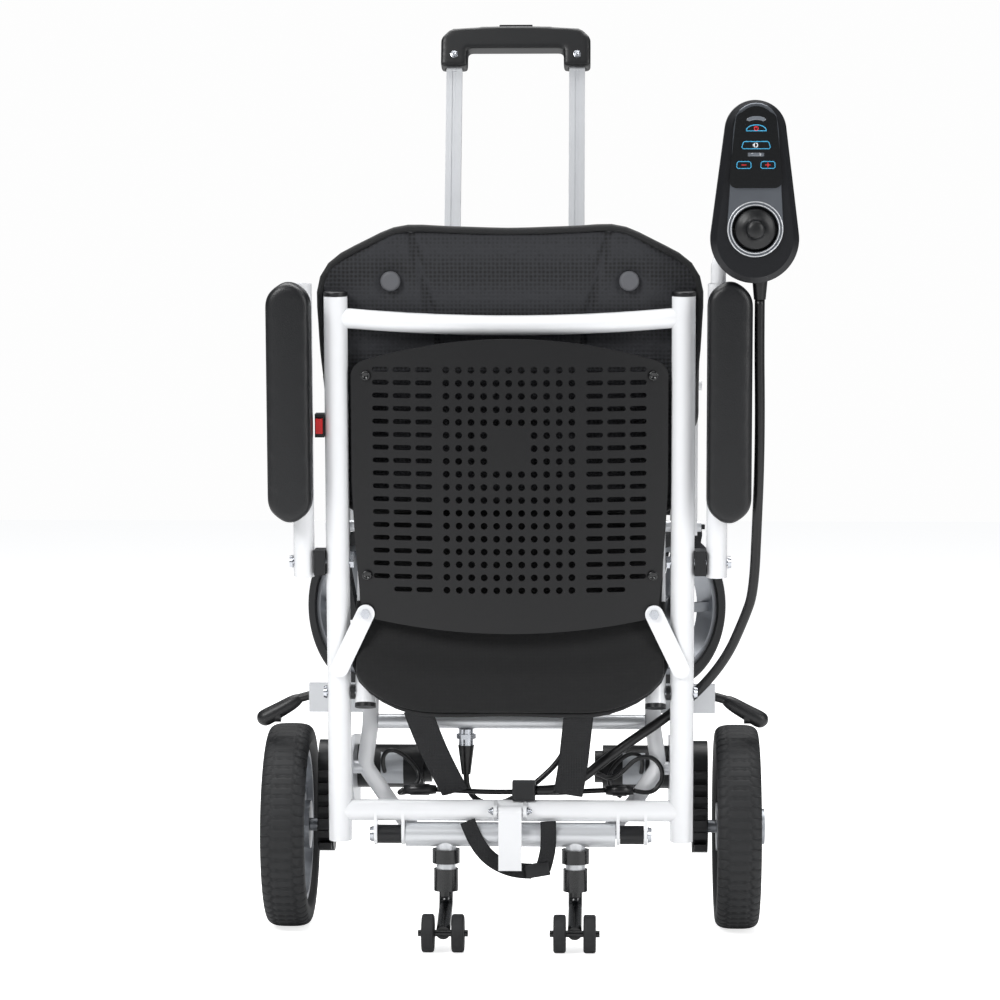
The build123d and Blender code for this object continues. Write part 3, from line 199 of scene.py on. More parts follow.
def patterned(name, colour, gap_shade_colour, roughness, pitch, pattern, bump=0.6, **shader):
    """A cloth whose threads or holes stand on a pitch in mm: pattern is mesh, weave or rib. Its gaps and holes
    take a darker colour as painted shade.
    """
    material = bpy.data.materials.new(name)
    material.use_nodes = True
    tree = material.node_tree
    tree.nodes.clear()
    where = add_node(tree, "ShaderNodeTexCoord").outputs["Object"]
    if pattern == "mesh":
        cells = add_node(tree, "ShaderNodeTexVoronoi", {"Scale": 1 / (pitch * MM), "Randomness": 0.12},
                         {"Vector": where})
        height = cells.outputs["Distance"]
    else:
        mixed = add_node(tree, "ShaderNodeMath",
                         {"operation": "MULTIPLY" if pattern == "weave" else "MAXIMUM"})
        for place, direction in enumerate("XZ"):
            threads = add_node(tree, "ShaderNodeTexWave",
                               {"Scale": WAVE_REPEAT / (pitch * MM), "Distortion": 0.6,
                                "bands_direction": direction}, {"Vector": where})
            tree.links.new(threads.outputs["Fac"], mixed.inputs[place])
        height = mixed.outputs[0]
    # painted shade: the low parts between the threads and in the holes take the darker gap colour
    tint = add_node(tree, "ShaderNodeValToRGB", None, {"Fac": height})
    tint.color_ramp.elements[0].position = 0.15
    tint.color_ramp.elements[0].color = linear(gap_shade_colour)
    tint.color_ramp.elements[1].position = 0.55
    tint.color_ramp.elements[1].color = linear(colour)
    fuzz = add_node(tree, "ShaderNodeTexNoise", {"Scale": 1 / FUZZ, "Detail": 2.0}, {"Vector": where})
    gloss = add_node(tree, "ShaderNodeMapRange",
                     {"To Min": roughness - 0.1, "To Max": min(1.0, roughness + 0.08)},
                     {"Value": fuzz.outputs["Fac"]})
    relief = add_node(tree, "ShaderNodeBump", {"Strength": bump, "Distance": THREAD_RELIEF * pitch * MM},
                      {"Height": height})
    shading = add_node(tree, "ShaderNodeBsdfPrincipled", shader,
                       {"Base Color": tint.outputs["Color"], "Roughness": gloss.outputs["Result"],
                        "Normal": relief.outputs["Normal"]})
    add_node(tree, "ShaderNodeOutputMaterial", None, {"Surface": shading.outputs[0]})
    return material


def make_finishes(settings):
    """Every finish of the chair, by name."""
    made = {
        # polyester powder coat over aluminium: glossy with faint orange peel
        "white_paint": surface("white_powder_coat", settings.paint, 0.26, grain=5.0, bump=0.004, vary=0.01,
                               rough_vary=0.02, **{"Coat Weight": 0.5, "Coat Roughness": 0.15}),
        # nylon caps and saddles straight from the mould: satin
        "black_nylon": surface("moulded_nylon", "0C0D10", 0.4, grain=0.8, bump=0.12),
        # polypropylene with a spark-eroded texture: low sheen with broad soft highlights
        "shell_plastic": surface("textured_polypropylene", settings.shell, 0.36, grain=1.0, bump=0.3,
                                 vary=0.06, **{"Specular IOR Level": 0.42}),
        # zinc plated steel: bright with a slight blue cast
        "zinc_steel": surface("zinc_plated_steel", "C9CCD2", 0.24, 1.0, grain=1.4, bump=0.05),
        # three dimensional spacer mesh: rows of small holes, painted dark as shade
        "air_mesh": patterned("spacer_mesh", "26272B", "020203", 0.8, settings.mesh_pitch / MM, "mesh",
                              0.8, **{"Sheen Weight": 0.12, "Sheen Roughness": 0.4}),
        # plain woven polyester, with painted shade between its threads
        "seat_fabric": patterned("woven_polyester", settings.fabric, "040405", 0.85, 1.6, "weave", 0.5,
                                 **{"Sheen Weight": 0.08, "Sheen Roughness": 0.4}),
        # ribbed binding and webbing, with painted shade between the ribs
        "binding": patterned("bias_binding", "0D0E10", "030304", 0.7, 1.2, "rib", 0.5,
                             **{"Sheen Weight": 0.08, "Sheen Roughness": 0.4}),
        "webbing": patterned("polyester_webbing", "121316", "030304", 0.7, 2.0, "rib", 0.8),
        # acetal push button
        "red_plastic": surface("red_acetal", "D3161B", 0.3, grain=1.0, bump=0.04),
        # cable jackets and boots: plasticised PVC, a soft gloss
        "black_rubber": surface("black_pvc", "0A0A0C", 0.34, grain=1.2, bump=0.06),
        # extruded and anodised aluminium: fine lines along the length
        "alloy": surface("anodised_aluminium", "DADCDF", 0.36, 0.55, grain=0.9, bump=0.03, vary=0.04,
                         stretch=(1, 1, 0.06)),
        # black powder coat on steel forks and arms
        "black_paint": surface("black_powder_coat", "07080A", 0.24, grain=2.4, bump=0.04,
                               **{"Coat Weight": 0.3, "Coat Roughness": 0.2}),
        # filled polyurethane tyres: matt with a dusty bloom
        "tyre": surface("solid_tyre", "17181A", 0.66, grain=0.9, bump=0.25, vary=0.2),
        "grip_plastic": surface("moulded_grip", "0B0C0E", 0.42, grain=0.8, bump=0.22),
        # self-skinned polyurethane foam: leather grain
        "pad_foam": surface("skinned_foam", "0B0C0F", 0.4, grain=1.6, bump=0.35, vary=0.08),
        "joystick_grey": surface("painted_abs", "1C1D20", 0.3, 0.3, grain=0.7, bump=0.05),
        "joystick_silver": surface("metallic_abs", "696D73", 0.34, 0.7, grain=0.6, bump=0.05),
        # printed polycarbonate overlay: clear gloss over black
        "keypad_gloss": surface("keypad_overlay", "060708", 0.1, grain=6.0, bump=0.01,
                                **{"Coat Weight": 1.0, "Coat Roughness": 0.03}),
        "motor_black": surface("cast_housing", "0E0F11", 0.42, 0.2, grain=1.2, bump=0.25),
        "print_blue": surface("blue_print", "3FA9D6", 0.4, grain=1.0, bump=0.02),
        "print_red": surface("red_print", "D8232A", 0.4, grain=1.0, bump=0.02),
        "print_white": surface("white_print", "E6E8EA", 0.4, grain=1.0, bump=0.02),
        "lens_grey": surface("smoked_lens", "6C7178", 0.15, grain=2.0, bump=0.02, **{"Coat Weight": 0.6}),
        "tuft_grey": surface("covered_button", "56575B", 0.6, grain=0.7, bump=0.2),
        # cast aluminium wheels, a shade darker than the extrusions
        "cast_alloy": surface("cast_aluminium", "9DA0A5", 0.4, 0.9, grain=1.2, bump=0.1),
        "label_silver": surface("foil_label", "B9BCC0", 0.35, 0.6, grain=2.0, bump=0.03),
        "floor": surface("studio_floor", "FBFBFB", 0.6, grain=20.0, bump=0.01, vary=0.005),
    }
    FINISHES.update(made)
    # the floor glows for the camera alone, so that it meets the backdrop without a line
    tree = made["floor"].node_tree
    shading = next(node for node in tree.nodes if node.type == "BSDF_PRINCIPLED")
    shading.inputs["Emission Color"].default_value = (1, 1, 1, 1)
    rays = add_node(tree, "ShaderNodeLightPath")
    glow = add_node(tree, "ShaderNodeMath", {"operation": "MULTIPLY"})
    tree.links.new(rays.outputs["Is Camera Ray"], glow.inputs[0])
    glow.inputs[1].default_value = FLOOR_GLOW
    tree.links.new(glow.outputs[0], shading.inputs["Emission Strength"])


# ---- making pieces -------------------------------------------------------------------------------
def piece(name, mesh, finish, body, smooth=True):
    """Put a mesh in the scene with its finish, riding on a body."""
    obj = bpy.data.objects.new(name, mesh)
    bpy.context.scene.collection.objects.link(obj)
    mesh.materials.clear()
    mesh.materials.append(FINISHES[finish])
    if smooth:
        mesh.polygons.foreach_set("use_smooth", [True] * len(mesh.polygons))
    if body:
        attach(obj, body)
    return obj


def mesh_of(name, verts, faces):
    """A mesh from its points and faces."""
    mesh = bpy.data.meshes.new(name)
    mesh.from_pydata([tuple(v) for v in verts], [], faces)
    mesh.update()
    return mesh


def solid_of(fill):
    """A mesh filled by a function that works on a bmesh."""
    work = bmesh.new()
    fill(work)
    mesh = bpy.data.meshes.new("solid")
    bmesh.ops.recalc_face_normals(work, faces=work.faces)
    work.to_mesh(mesh)
    work.free()
    return mesh


def ring_faces(rings, steps, closed_along=False):
    """Quads between rings of equal length."""
    faces = []
    for i in range(rings if closed_along else rings - 1):
        j = (i + 1) % rings
        for k in range(steps):
            n = (k + 1) % steps
            faces.append((i * steps + k, i * steps + n, j * steps + n, j * steps + k))
    return faces


def tube_mesh(path, radius, steps=20):
    """A closed round tube along points."""
    points = [Vector(p) for p in path]
    verts = []
    side = None
    for i, point in enumerate(points):
        ahead = points[min(i + 1, len(points) - 1)] - points[max(i - 1, 0)]
        ahead.normalize()
        if side is None:
            side = ahead.orthogonal().normalized()
        side = (side - ahead * side.dot(ahead)).normalized()
        up = ahead.cross(side)
        for k in range(steps):
            turn = 2 * pi * k / steps
            verts.append(point + side * radius * cos(turn) + up * radius * sin(turn))
    faces = ring_faces(len(points), steps)
    faces.append(tuple(reversed(range(steps))))
    last = (len(points) - 1) * steps
    faces.append(tuple(range(last, last + steps)))
    return mesh_of("tube", verts, faces)


def smooth_path(points, order=3, resolution=16):
    """Points along a NURBS line with these control points."""
    data = bpy.data.curves.new("route", "CURVE")
    data.dimensions = "3D"
    data.resolution_u = resolution
    spline = data.splines.new("NURBS")
    spline.points.add(len(points) - 1)
    for spot, point in zip(spline.points, points):
        spot.co = (*point, 1.0)
    spline.order_u = order
    spline.use_endpoint_u = True
    holder = bpy.data.objects.new("route", data)
    bpy.context.scene.collection.objects.link(holder)
    line = bpy.data.meshes.new_from_object(holder)
    path = [v.co.copy() for v in line.vertices]
    bpy.data.objects.remove(holder)
    bpy.data.curves.remove(data)
    bpy.data.meshes.remove(line)
    return path


def lathe(profile, centre, axis, steps=96):
    """Turn (along, radius) pairs round an axis through centre."""
    axis = Vector(axis).normalized()
    side = axis.orthogonal().normalized()
    up = axis.cross(side)
    centre = Vector(centre)
    verts = []
    for along, radius in profile:
        for k in range(steps):
            turn = 2 * pi * k / steps
            verts.append(centre + axis * along + side * radius * cos(turn) + up * radius * sin(turn))
    faces = ring_faces(len(profile), steps)
    faces.append(tuple(reversed(range(steps))))
    last = (len(profile) - 1) * steps
    faces.append(tuple(range(last, last + steps)))
    return mesh_of("lathe", verts, faces)


def join_meshes(meshes, name):
    """One mesh from several, which are used up."""
    work = bmesh.new()
    for mesh in meshes:
        work.from_mesh(mesh)
        bpy.data.meshes.remove(mesh)
    made = bpy.data.meshes.new(name)
    work.to_mesh(made)
    work.free()
    return made


def edge_split(obj, angle=35):
    """Keep edges crisp where faces turn sharply, and smooth elsewhere."""
    work = bmesh.new()
    work.from_mesh(obj.data)
    for edge in work.edges:
        if len(edge.link_faces) == 2 and edge.calc_face_angle(0) > radians(angle):
            edge.smooth = False
    work.to_mesh(obj.data)
    work.free()


def baked(obj):
    """Apply an object's modifiers to its mesh."""
    graph = bpy.context.evaluated_depsgraph_get()
    graph.update()
    made = bpy.data.meshes.new_from_object(obj.evaluated_get(graph))
    obj.modifiers.clear()
    old = obj.data
    obj.data = made
    bpy.data.meshes.remove(old)
    return obj


def soft_copy(node, voxel, rounds):
    """A node's shape as an even mesh with its edges rounded off."""
    obj = bpy.data.objects.new("soft", frame["nodes"][node].data.copy())
    obj.data.transform(frame["nodes"][node].matrix_world)
    bpy.context.scene.collection.objects.link(obj)
    remesh = obj.modifiers.new("Even", "REMESH")
    remesh.mode = "VOXEL"
    remesh.voxel_size = voxel
    ease = obj.modifiers.new("Ease", "SMOOTH")
    ease.iterations = rounds
    ease.factor = 0.6
    return baked(obj)


CLOTH_QUALITY = 4
CLOTH_FRAMES = 20


def fill_cover(obj, settings, keep):
    """Blow the cover up as cloth, then hold each point near where it was and on the right side."""
    before = [v.co.copy() for v in obj.data.vertices]
    cloth = obj.modifiers.new("Cloth", "CLOTH")
    cloth.settings.quality = CLOTH_QUALITY
    cloth.settings.use_pressure = True
    cloth.settings.uniform_pressure_force = settings.pressure
    cloth.settings.effector_weights.gravity = 0.0
    scene = bpy.context.scene
    for number in range(1, CLOTH_FRAMES + 1):
        scene.frame_set(number)
    graph = bpy.context.evaluated_depsgraph_get()
    shaped = [v.co.copy() for v in obj.evaluated_get(graph).data.vertices]
    obj.modifiers.clear()
    scene.frame_set(1)
    for vertex, old, new in zip(obj.data.vertices, before, shaped):
        move = new - old
        if move.length > settings.puff:
            move *= settings.puff / move.length
        vertex.co = keep(old, old + move)
    return obj


def subdivide(obj):
    """Round a mesh off by one level of subdivision."""
    modifier = obj.modifiers.new("Fine", "SUBSURF")
    modifier.levels = 1
    modifier.render_levels = 1
    return baked(obj)


def rounded_block(centre, size, right, up):
    """A soft-edged block: a cube with its edges rounded by a bevel."""
    out = right.cross(up)

    def fill(work):
        made = bmesh.ops.create_cube(work, size=1.0)
        for vertex in made["verts"]:
            local = vertex.co
            vertex.co = centre + right * local.x * size[0] + up * local.y * size[1] + out * local.z * size[2]
        bmesh.ops.bevel(work, geom=list(work.edges), offset=0.2 * min(size), segments=3, profile=0.5,
                        affect="EDGES")
    return solid_of(fill)


def bolt_mesh(centre, axis, r):
    """A domed screw head of radius r with a hexagon socket on a washer. axis points out of the surface."""
    washer = [(0, 0.2 * r), (0, 1.5 * r), (0.18 * r, 1.5 * r), (0.22 * r, 1.42 * r), (0.22 * r, 0.2 * r)]
    head = [(0.22 * r, 1.1 * r), (0.5 * r, 1.08 * r), (0.75 * r, 0.9 * r), (0.92 * r, 0.55 * r),
            (0.6 * r, 0.5 * r)]
    socket = [(0.5 * r, 0.5 * r), (0.58 * r, 0.48 * r)]
    return join_meshes([lathe(washer, centre, axis, 32), lathe(head, centre, axis, 32),
                        lathe(socket, centre, axis, 6)], "bolt")


def nut_mesh(centre, axis, r):
    """A lock nut of thread radius r with a stub of thread."""
    return join_meshes([
        lathe([(0, 0.3 * r), (0, 1.55 * r), (0.2 * r, 1.5 * r), (0.2 * r, 0.3 * r)], centre, axis, 32),
        lathe([(0.2 * r, 0.6 * r), (0.2 * r, 1.2 * r), (0.95 * r, 1.2 * r), (1.1 * r, 1.0 * r),
               (1.1 * r, 0.6 * r)], centre, axis, 6),
        lathe([(1.1 * r, 0.6 * r), (1.35 * r, 0.92 * r), (1.45 * r, 0.7 * r)], centre, axis, 24),
        lathe([(1.4 * r, 0.55 * r), (1.9 * r, 0.55 * r), (2.0 * r, 0.45 * r)], centre, axis, 20)], "nut")


# ---- camera, stage and light ---------------------------------------------------------------------
FOCAL_MM = 114.5
CAMERA_PLACE = (0.1177, -3.9587, 0.7327)
CAMERA_PITCH = 2.857
CAMERA_TURN = 1.941
SENSOR_MM = 36.0
BACKDROP_GLOW = 0.985
ROOM_GLOW = 0.2
FLOOR_HALF = 9
LIGHTS = (("key", (-2.0, -2.6, 2.6), (0, 0, 0.6), (1.4, 1.4), 85),
          ("fill", (2.6, -2.2, 1.6), (0, 0, 0.6), (0.8, 2.2), 42),
          ("top", (0, 0.6, 3.4), (0, 0, 0), (3.4, 2.6), 150))


def make_camera():
    """The camera, a little above the seat and behind the chair."""
    data = bpy.data.cameras.new("camera")
    data.lens = FOCAL_MM
    data.sensor_width = SENSOR_MM
    camera = bpy.data.objects.new("camera", data)
    camera.location = CAMERA_PLACE
    camera.rotation_euler = (radians(90 - CAMERA_PITCH), 0, radians(CAMERA_TURN))
    bpy.context.scene.collection.objects.link(camera)
    bpy.context.scene.camera = camera


def area_light(name, place, target, size, power):
    """A soft light that faces its target."""
    data = bpy.data.lights.new(name, "AREA")
    data.shape = "RECTANGLE"
    data.size, data.size_y = size
    data.energy = power
    light = bpy.data.objects.new(name, data)
    light.location = place
    light.rotation_euler = (Vector(target) - Vector(place)).to_track_quat("-Z", "Y").to_euler()
    bpy.context.scene.collection.objects.link(light)


class WHEELCHAIR_OT_stage(bpy.types.Operator):
    """Make the camera, the pale floor and the soft studio light"""
    bl_idname = "wheelchair.stage"
    bl_label = "Stage"

    def execute(self, context):
        make_finishes(context.scene.wheelchair_finish)
        make_camera()
        verts = [(x * FLOOR_HALF, y * FLOOR_HALF, 0) for x, y in ((-1, -1), (1, -1), (1, 1), (-1, 1))]
        floor = piece("floor", mesh_of("floor", verts, [(0, 1, 2, 3)]), "floor", None, False)
        world = bpy.data.worlds.new("studio")
        world.use_nodes = True
        tree = world.node_tree
        tree.nodes.clear()
        seen = add_node(tree, "ShaderNodeBackground", {"Color": (1, 1, 1, 1), "Strength": BACKDROP_GLOW})
        room = add_node(tree, "ShaderNodeBackground", {"Color": (0.93, 0.96, 1, 1), "Strength": ROOM_GLOW})
        rays = add_node(tree, "ShaderNodeLightPath")
        mixed = add_node(tree, "ShaderNodeMixShader", None, {"Fac": rays.outputs["Is Camera Ray"]})
        tree.links.new(room.outputs[0], mixed.inputs[1])
        tree.links.new(seen.outputs[0], mixed.inputs[2])
        add_node(tree, "ShaderNodeOutputWorld", None, {"Surface": mixed.outputs[0]})
        context.scene.world = world
        for light in LIGHTS:
            area_light(*light)
        context.scene.view_settings.view_transform = "Standard"
        return {"FINISHED"}


# ---- joystick cable ------------------------------------------------------------------------------
# down the armrest, across to the junction and into its side
CABLE_ROUTE = [on_back(297, 656, 27), on_back(297, 600, 26), on_back(298.5, 525, 23),
               on_back(298.5, 455, 18), on_back(297, 390, 6), on_back(294, 301, 0)]
CABLE_ROUTE += [Vector(p) * MM for p in ((283, -119, 398), (262, -106, 348), (226, -94, 304),
                                         (184, -90, 270), (148, -90, 246), (114, -92, 221),
                                         (88, -95, 200))]
JUNCTION = BASE_PIVOT + BACK_UP * 30 * MM + Vector((0, 3, 24.3)) * MM
CABLE_ROUTE += [Vector((x, JUNCTION.y, JUNCTION.z)) for x in (0.062, 0.030)]


class WHEELCHAIR_OT_cable(bpy.types.Operator):
    """Hang the joystick's cable from its gland to the junction on the bottom crossbar"""
    bl_idname = "wheelchair.cable"
    bl_label = "Joystick cable"

    def execute(self, context):
        diameter = context.scene.wheelchair_cable.diameter
        path = smooth_path(CABLE_ROUTE)
        length = sum((b - a).length for a, b in zip(path, path[1:]))
        cable = piece("joystick_cable", tube_mesh(path, diameter / 2, 24), "black_rubber", None)
        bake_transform(cable)
        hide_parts("joystick_cable_upper", "joystick_cable_lower")
        tuple(CABLE_ROUTE[0])
        [tuple(p) for p in path]
        return {"FINISHED"}


# ---- cushions ------------------------------------------------------------------------------------
# the planes that the filled covers may not pass, and the gap that they keep from them
CUSHION_REAR = -14.6 * MM
SEAT_FLOOR = 12.8 * MM
COVER_GAP = 0.4 * MM
# the back cushion's tufts, each with its place, reach and depth in mm
TUFT_X = 143.0
TUFT_UP = 675.0
TUFT_REACH = 34
TUFT_DEEP = 5.0
# its two seams, which lean outwards, with their reach and depth
SEAM_X = 98
SEAM_UP = 650
SEAM_SLANT = 0.24
SEAM_REACH = 11
SEAM_DEEP = 4.5
SEAM_FOOT = 600
FRONT_LAYER = -28
# how its top edge is pulled down, and its top corners in, over these ranges in mm
TOP_PULL = 2
TOP_UP = 640
TOP_SPAN = 90
CORNER_IN = 9
CORNER_UP = 655
CORNER_SPAN = 75
CORNER_X = 150
CORNER_WIDE = 84
# the seat cushion between the back tubes, and its corners that draw in towards the tail
SEAT_HALF = 0.191
SEAT_NARROW = 0.29
SEAT_END = -33
SEAT_TAIL = 90
CORNER_PULL = 44
# an arm pad in mm: half its width and length, the round of its ends, its crown and its mould line
PAD_HALF = 27
PAD_END = 144
PAD_ROUND = 30
PAD_CROWN = 2.0
PAD_LINE = -4


def silhouette(mesh, origin, up, centre_up, steps=90):
    """A flat-lying mesh's outline as (across, up) pairs in mm, found in equal turns round its middle."""
    reach = [0.0] * steps
    for vertex in mesh.vertices:
        local = vertex.co - origin
        across, high = local.x / MM, local.dot(up) / MM - centre_up
        slot = int((atan2(high, across) / (2 * pi) + 0.5) * steps) % steps
        reach[slot] = max(reach[slot], sqrt(across ** 2 + high ** 2))
    eased = [(reach[k - 1] + 2 * reach[k] + reach[(k + 1) % steps]) / 4 for k in range(steps)]
    turns = [((k + 0.5) / steps - 0.5) * 2 * pi for k in range(steps)]
    return [(r * cos(t), centre_up + r * sin(t)) for r, t in zip(eased, turns)]


class WHEELCHAIR_OT_back_cushion(bpy.types.Operator):
    """Fill the mesh back cushion, dimple it at the tufts and sew its seams and binding"""
    bl_idname = "wheelchair.back_cushion"
    bl_label = "Back cushion"

    def execute(self, context):
        soft = context.scene.wheelchair_soft
        obj = soft_copy("back_cushion", soft.voxel, 4)

        def keep(old, new):
            depth = (new - BASE_PIVOT).dot(BACK_REAR)
            if depth > CUSHION_REAR - COVER_GAP:
                new = new - BACK_REAR * (depth - CUSHION_REAR + COVER_GAP)
            return new

        fill_cover(obj, soft, keep)
        obj = subdivide(obj)
        for vertex in obj.data.vertices:
            local = vertex.co - BASE_PIVOT
            across, up, rear = local.x / MM, local.dot(BACK_UP) / MM, local.dot(BACK_REAR) / MM
            vertex.co -= BACK_UP * TOP_PULL * min(1.0, max(0.0, (up - TOP_UP) / TOP_SPAN)) * MM
            corner = max(0.0, (up - CORNER_UP) / CORNER_SPAN) ** 2
            corner *= max(0.0, (abs(across) - CORNER_X) / CORNER_WIDE)
            vertex.co.x -= (1 if across > 0 else -1) * CORNER_IN * min(1.0, corner) * MM
            if rear < FRONT_LAYER:
                continue
            gap = sqrt(min((across - TUFT_X) ** 2, (across + TUFT_X) ** 2) + (up - TUFT_UP) ** 2)
            dimple = TUFT_DEEP * max(0.0, 1 - gap / TUFT_REACH) ** 2
            seam = abs(abs(across) - (SEAM_X + (up - SEAM_UP) * SEAM_SLANT))
            valley = SEAM_DEEP * max(0.0, 1 - seam / SEAM_REACH) ** 2 if up > SEAM_FOOT else 0.0
            vertex.co -= BACK_REAR * (dimple + valley) * MM
        mesh = obj.data
        bpy.data.objects.remove(obj)
        cushion = piece("back_cushion_cover", mesh, "air_mesh", "back_frame")
        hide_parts("back_cushion")
        edge = silhouette(mesh, BASE_PIVOT, BACK_UP, 570)
        line = [on_back(x - 1.5 * (1 if x > 0 else -1), up - 1.0, -18.5) for x, up in edge]
        binding = piece("back_cushion_binding", loop_mesh(line, 4.6 * MM), "binding", "back_frame")
        return {"FINISHED"}


class WHEELCHAIR_OT_seat_cushion(bpy.types.Operator):
    """Fill the woven seat cushion and bind its rear edge"""
    bl_idname = "wheelchair.seat_cushion"
    bl_label = "Seat cushion"

    def execute(self, context):
        soft = context.scene.wheelchair_soft
        obj = soft_copy("seat_cushion", soft.voxel, 4)

        def keep(old, new):
            height = (new - SEAT_PIVOT).dot(LINK_REAR)
            if height < SEAT_FLOOR + COVER_GAP:
                new = new + LINK_REAR * (SEAT_FLOOR + COVER_GAP - height)
            if abs(new.x) > SEAT_HALF and (new - SEAT_PIVOT).dot(LINK_UP) < SEAT_NARROW:
                new.x = SEAT_HALF * (1 if new.x > 0 else -1)
            return old.lerp(new, 0.5)

        fill_cover(obj, soft, keep)
        obj = subdivide(obj)
        for vertex in obj.data.vertices:
            along = (vertex.co - SEAT_PIVOT).dot(LINK_UP) / MM
            share = max(0.0, (abs(vertex.co.x) / MM - 80) / 110)
            if along < SEAT_TAIL:
                fade = 1 - (along - SEAT_END) / (SEAT_TAIL - SEAT_END)
                vertex.co += LINK_UP * CORNER_PULL * share ** 2.4 * fade * MM
        mesh = obj.data
        bpy.data.objects.remove(obj)
        cushion = piece("seat_cushion_cover", mesh, "seat_fabric", "seat")
        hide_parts("seat_cushion")
        edge = silhouette(mesh, SEAT_PIVOT, LINK_UP, 200)
        line = [on_seat(x * 0.99, along, 17.5) for x, along in edge if along < 120 or along > 400]
        line = [spot for spot in line if (spot - SEAT_PIVOT).dot(LINK_UP) < 0.12]
        band = piece("seat_cushion_binding", tube_mesh(line, 3.2 * MM, 12), "binding", "seat")
        return {"FINISHED"}


class WHEELCHAIR_OT_arm_pads(bpy.types.Operator):
    """Round the skinned foam arm pads and part their skins along the mould line"""
    bl_idname = "wheelchair.arm_pads"
    bl_label = "Arm pads"

    def execute(self, context):
        for name in SIDES:
            node = f"arm_pad_{name}"
            obj = soft_copy(node, 3.5 * MM, 10)
            centre = middle(node)
            for vertex in obj.data.vertices:
                local = vertex.co - centre
                up = local.dot(BACK_UP) / MM
                rear = local.dot(BACK_REAR) / MM
                line = max(0.0, 1 - abs(rear - PAD_LINE) / 3.0) * 0.9
                crown = max(0.0, 1 - (local.x / (PAD_HALF * MM)) ** 2) * max(0.0, 1 - (up / PAD_END) ** 2)
                if rear > 4:
                    vertex.co += BACK_REAR * PAD_CROWN * crown * MM
                end = max(0.0, (abs(up) - (PAD_END - PAD_ROUND)) / PAD_ROUND)
                narrow = 1 - sqrt(max(0.0, 1 - 0.8 * min(1.0, end) ** 2))
                vertex.co.x -= local.x * (0.03 * line + narrow)
            obj = subdivide(obj)
            mesh = obj.data
            bpy.data.objects.remove(obj)
            pad = piece(f"arm_pad_skin_{name}", mesh, "pad_foam", f"arm_{name}")
            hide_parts(node)
        return {"FINISHED"}


# ---- tyres ---------------------------------------------------------------------------------------
TYRE_INNER = 96.5 * MM
# each groove's place across the tread in mm, with the way its zigzag starts
GROOVES = ((-14.0, 1), (-5.0, -1), (5.0, 1), (14.0, -1))
ZIGZAG = 5.0
GROOVE_HALF = 1.3
SHOULDER = 16
# where the tread starts, as a share of the way from the rim to the ground
TREAD_START = 0.72
# below 1 the section bulges out towards a rectangle
SQUARENESS = 0.62
TYRE_STEPS = 720
SECTION_STEPS = 64


def tread_depth(turn, across, blocks):
    """0 in a zigzag groove of the tread and 1 on a block."""
    phase = turn * blocks / (2 * pi)
    zig = abs((phase % 1.0) * 2 - 1)
    depth = 1.0
    for line, way in GROOVES:
        gap = abs(across - (line + (zig - 0.5) * ZIGZAG * way))
        depth = min(depth, gap / GROOVE_HALF)
    if abs(across) > SHOULDER:
        slot = abs(((phase + 0.25) % 1.0) - 0.5)
        depth = min(depth, slot / 0.12)
    return depth


def bulged(value):
    """A sine or cosine pushed out towards 1 or -1."""
    return (abs(value) ** SQUARENESS) * (1 if value >= 0 else -1)


def tyre_mesh(centre, radius, inner, width, groove, blocks):
    """A tyre with a rounded section whose tread is cut by zigzag grooves. It turns about X."""
    section = []
    for k in range(SECTION_STEPS):
        turn = 2 * pi * k / SECTION_STEPS
        section.append((width / 2 * bulged(cos(turn)),
                        (radius + inner) / 2 + (radius - inner) / 2 * bulged(sin(turn))))
    verts = []
    for step in range(TYRE_STEPS):
        turn = 2 * pi * step / TYRE_STEPS
        for x, r in section:
            share = (r - inner) / (radius - inner)
            if share > TREAD_START:
                fade = min(1.0, (share - TREAD_START) / 0.1)
                r -= groove * (1 - tread_depth(turn, x / MM, blocks)) * fade
            verts.append(centre + Vector((x, r * sin(turn), r * cos(turn))))
    return mesh_of("tyre", verts, ring_faces(TYRE_STEPS, SECTION_STEPS, True))


class WHEELCHAIR_OT_drive_tyres(bpy.types.Operator):
    """Mould the two drive tyres with their zigzag tread"""
    bl_idname = "wheelchair.drive_tyres"
    bl_label = "Drive tyres"

    def execute(self, context):
        settings = context.scene.wheelchair_tyre
        for name in SIDES:
            node = f"drive_tyre_{name}"
            low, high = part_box(node)
            centre = middle(node)
            mesh = tyre_mesh(centre, (high[2] - low[2]) / 2, TYRE_INNER, high[0] - low[0],
                             settings.groove, settings.blocks)
            tyre = piece(f"tyre_{name}", mesh, "tyre", f"drive_{name}")
            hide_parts(node)
        return {"FINISHED"}


# ---- straps --------------------------------------------------------------------------------------
RIBBON_STEPS = 12
# the seat's two straps: name, x at the top and the foot, width, and the depths that it hangs at, in mm
SEAT_STRAPS = (("left", -112, -68, 34, (-141, -135, -118, -96)),
               ("right", 84, 70, 36, (-141, -135, -124, -113)))
# the tail strap's two runs: name, route as (x, z) in mm, and the way its width lies
TAIL_STRAPS = (("tail_strap", ((-52, 150), (-44, 128), (-28, 106), (-8, 94), (12, 89), (26, 89)),
                (0.6, 0, 0.8)),
               ("tail_strap_end", ((40, 92), (45, 108), (47, 130), (46, 150)), (1, 0, 0)))
RIB_PITCH = 5.0
RIB_HEIGHT = 0.25 * MM


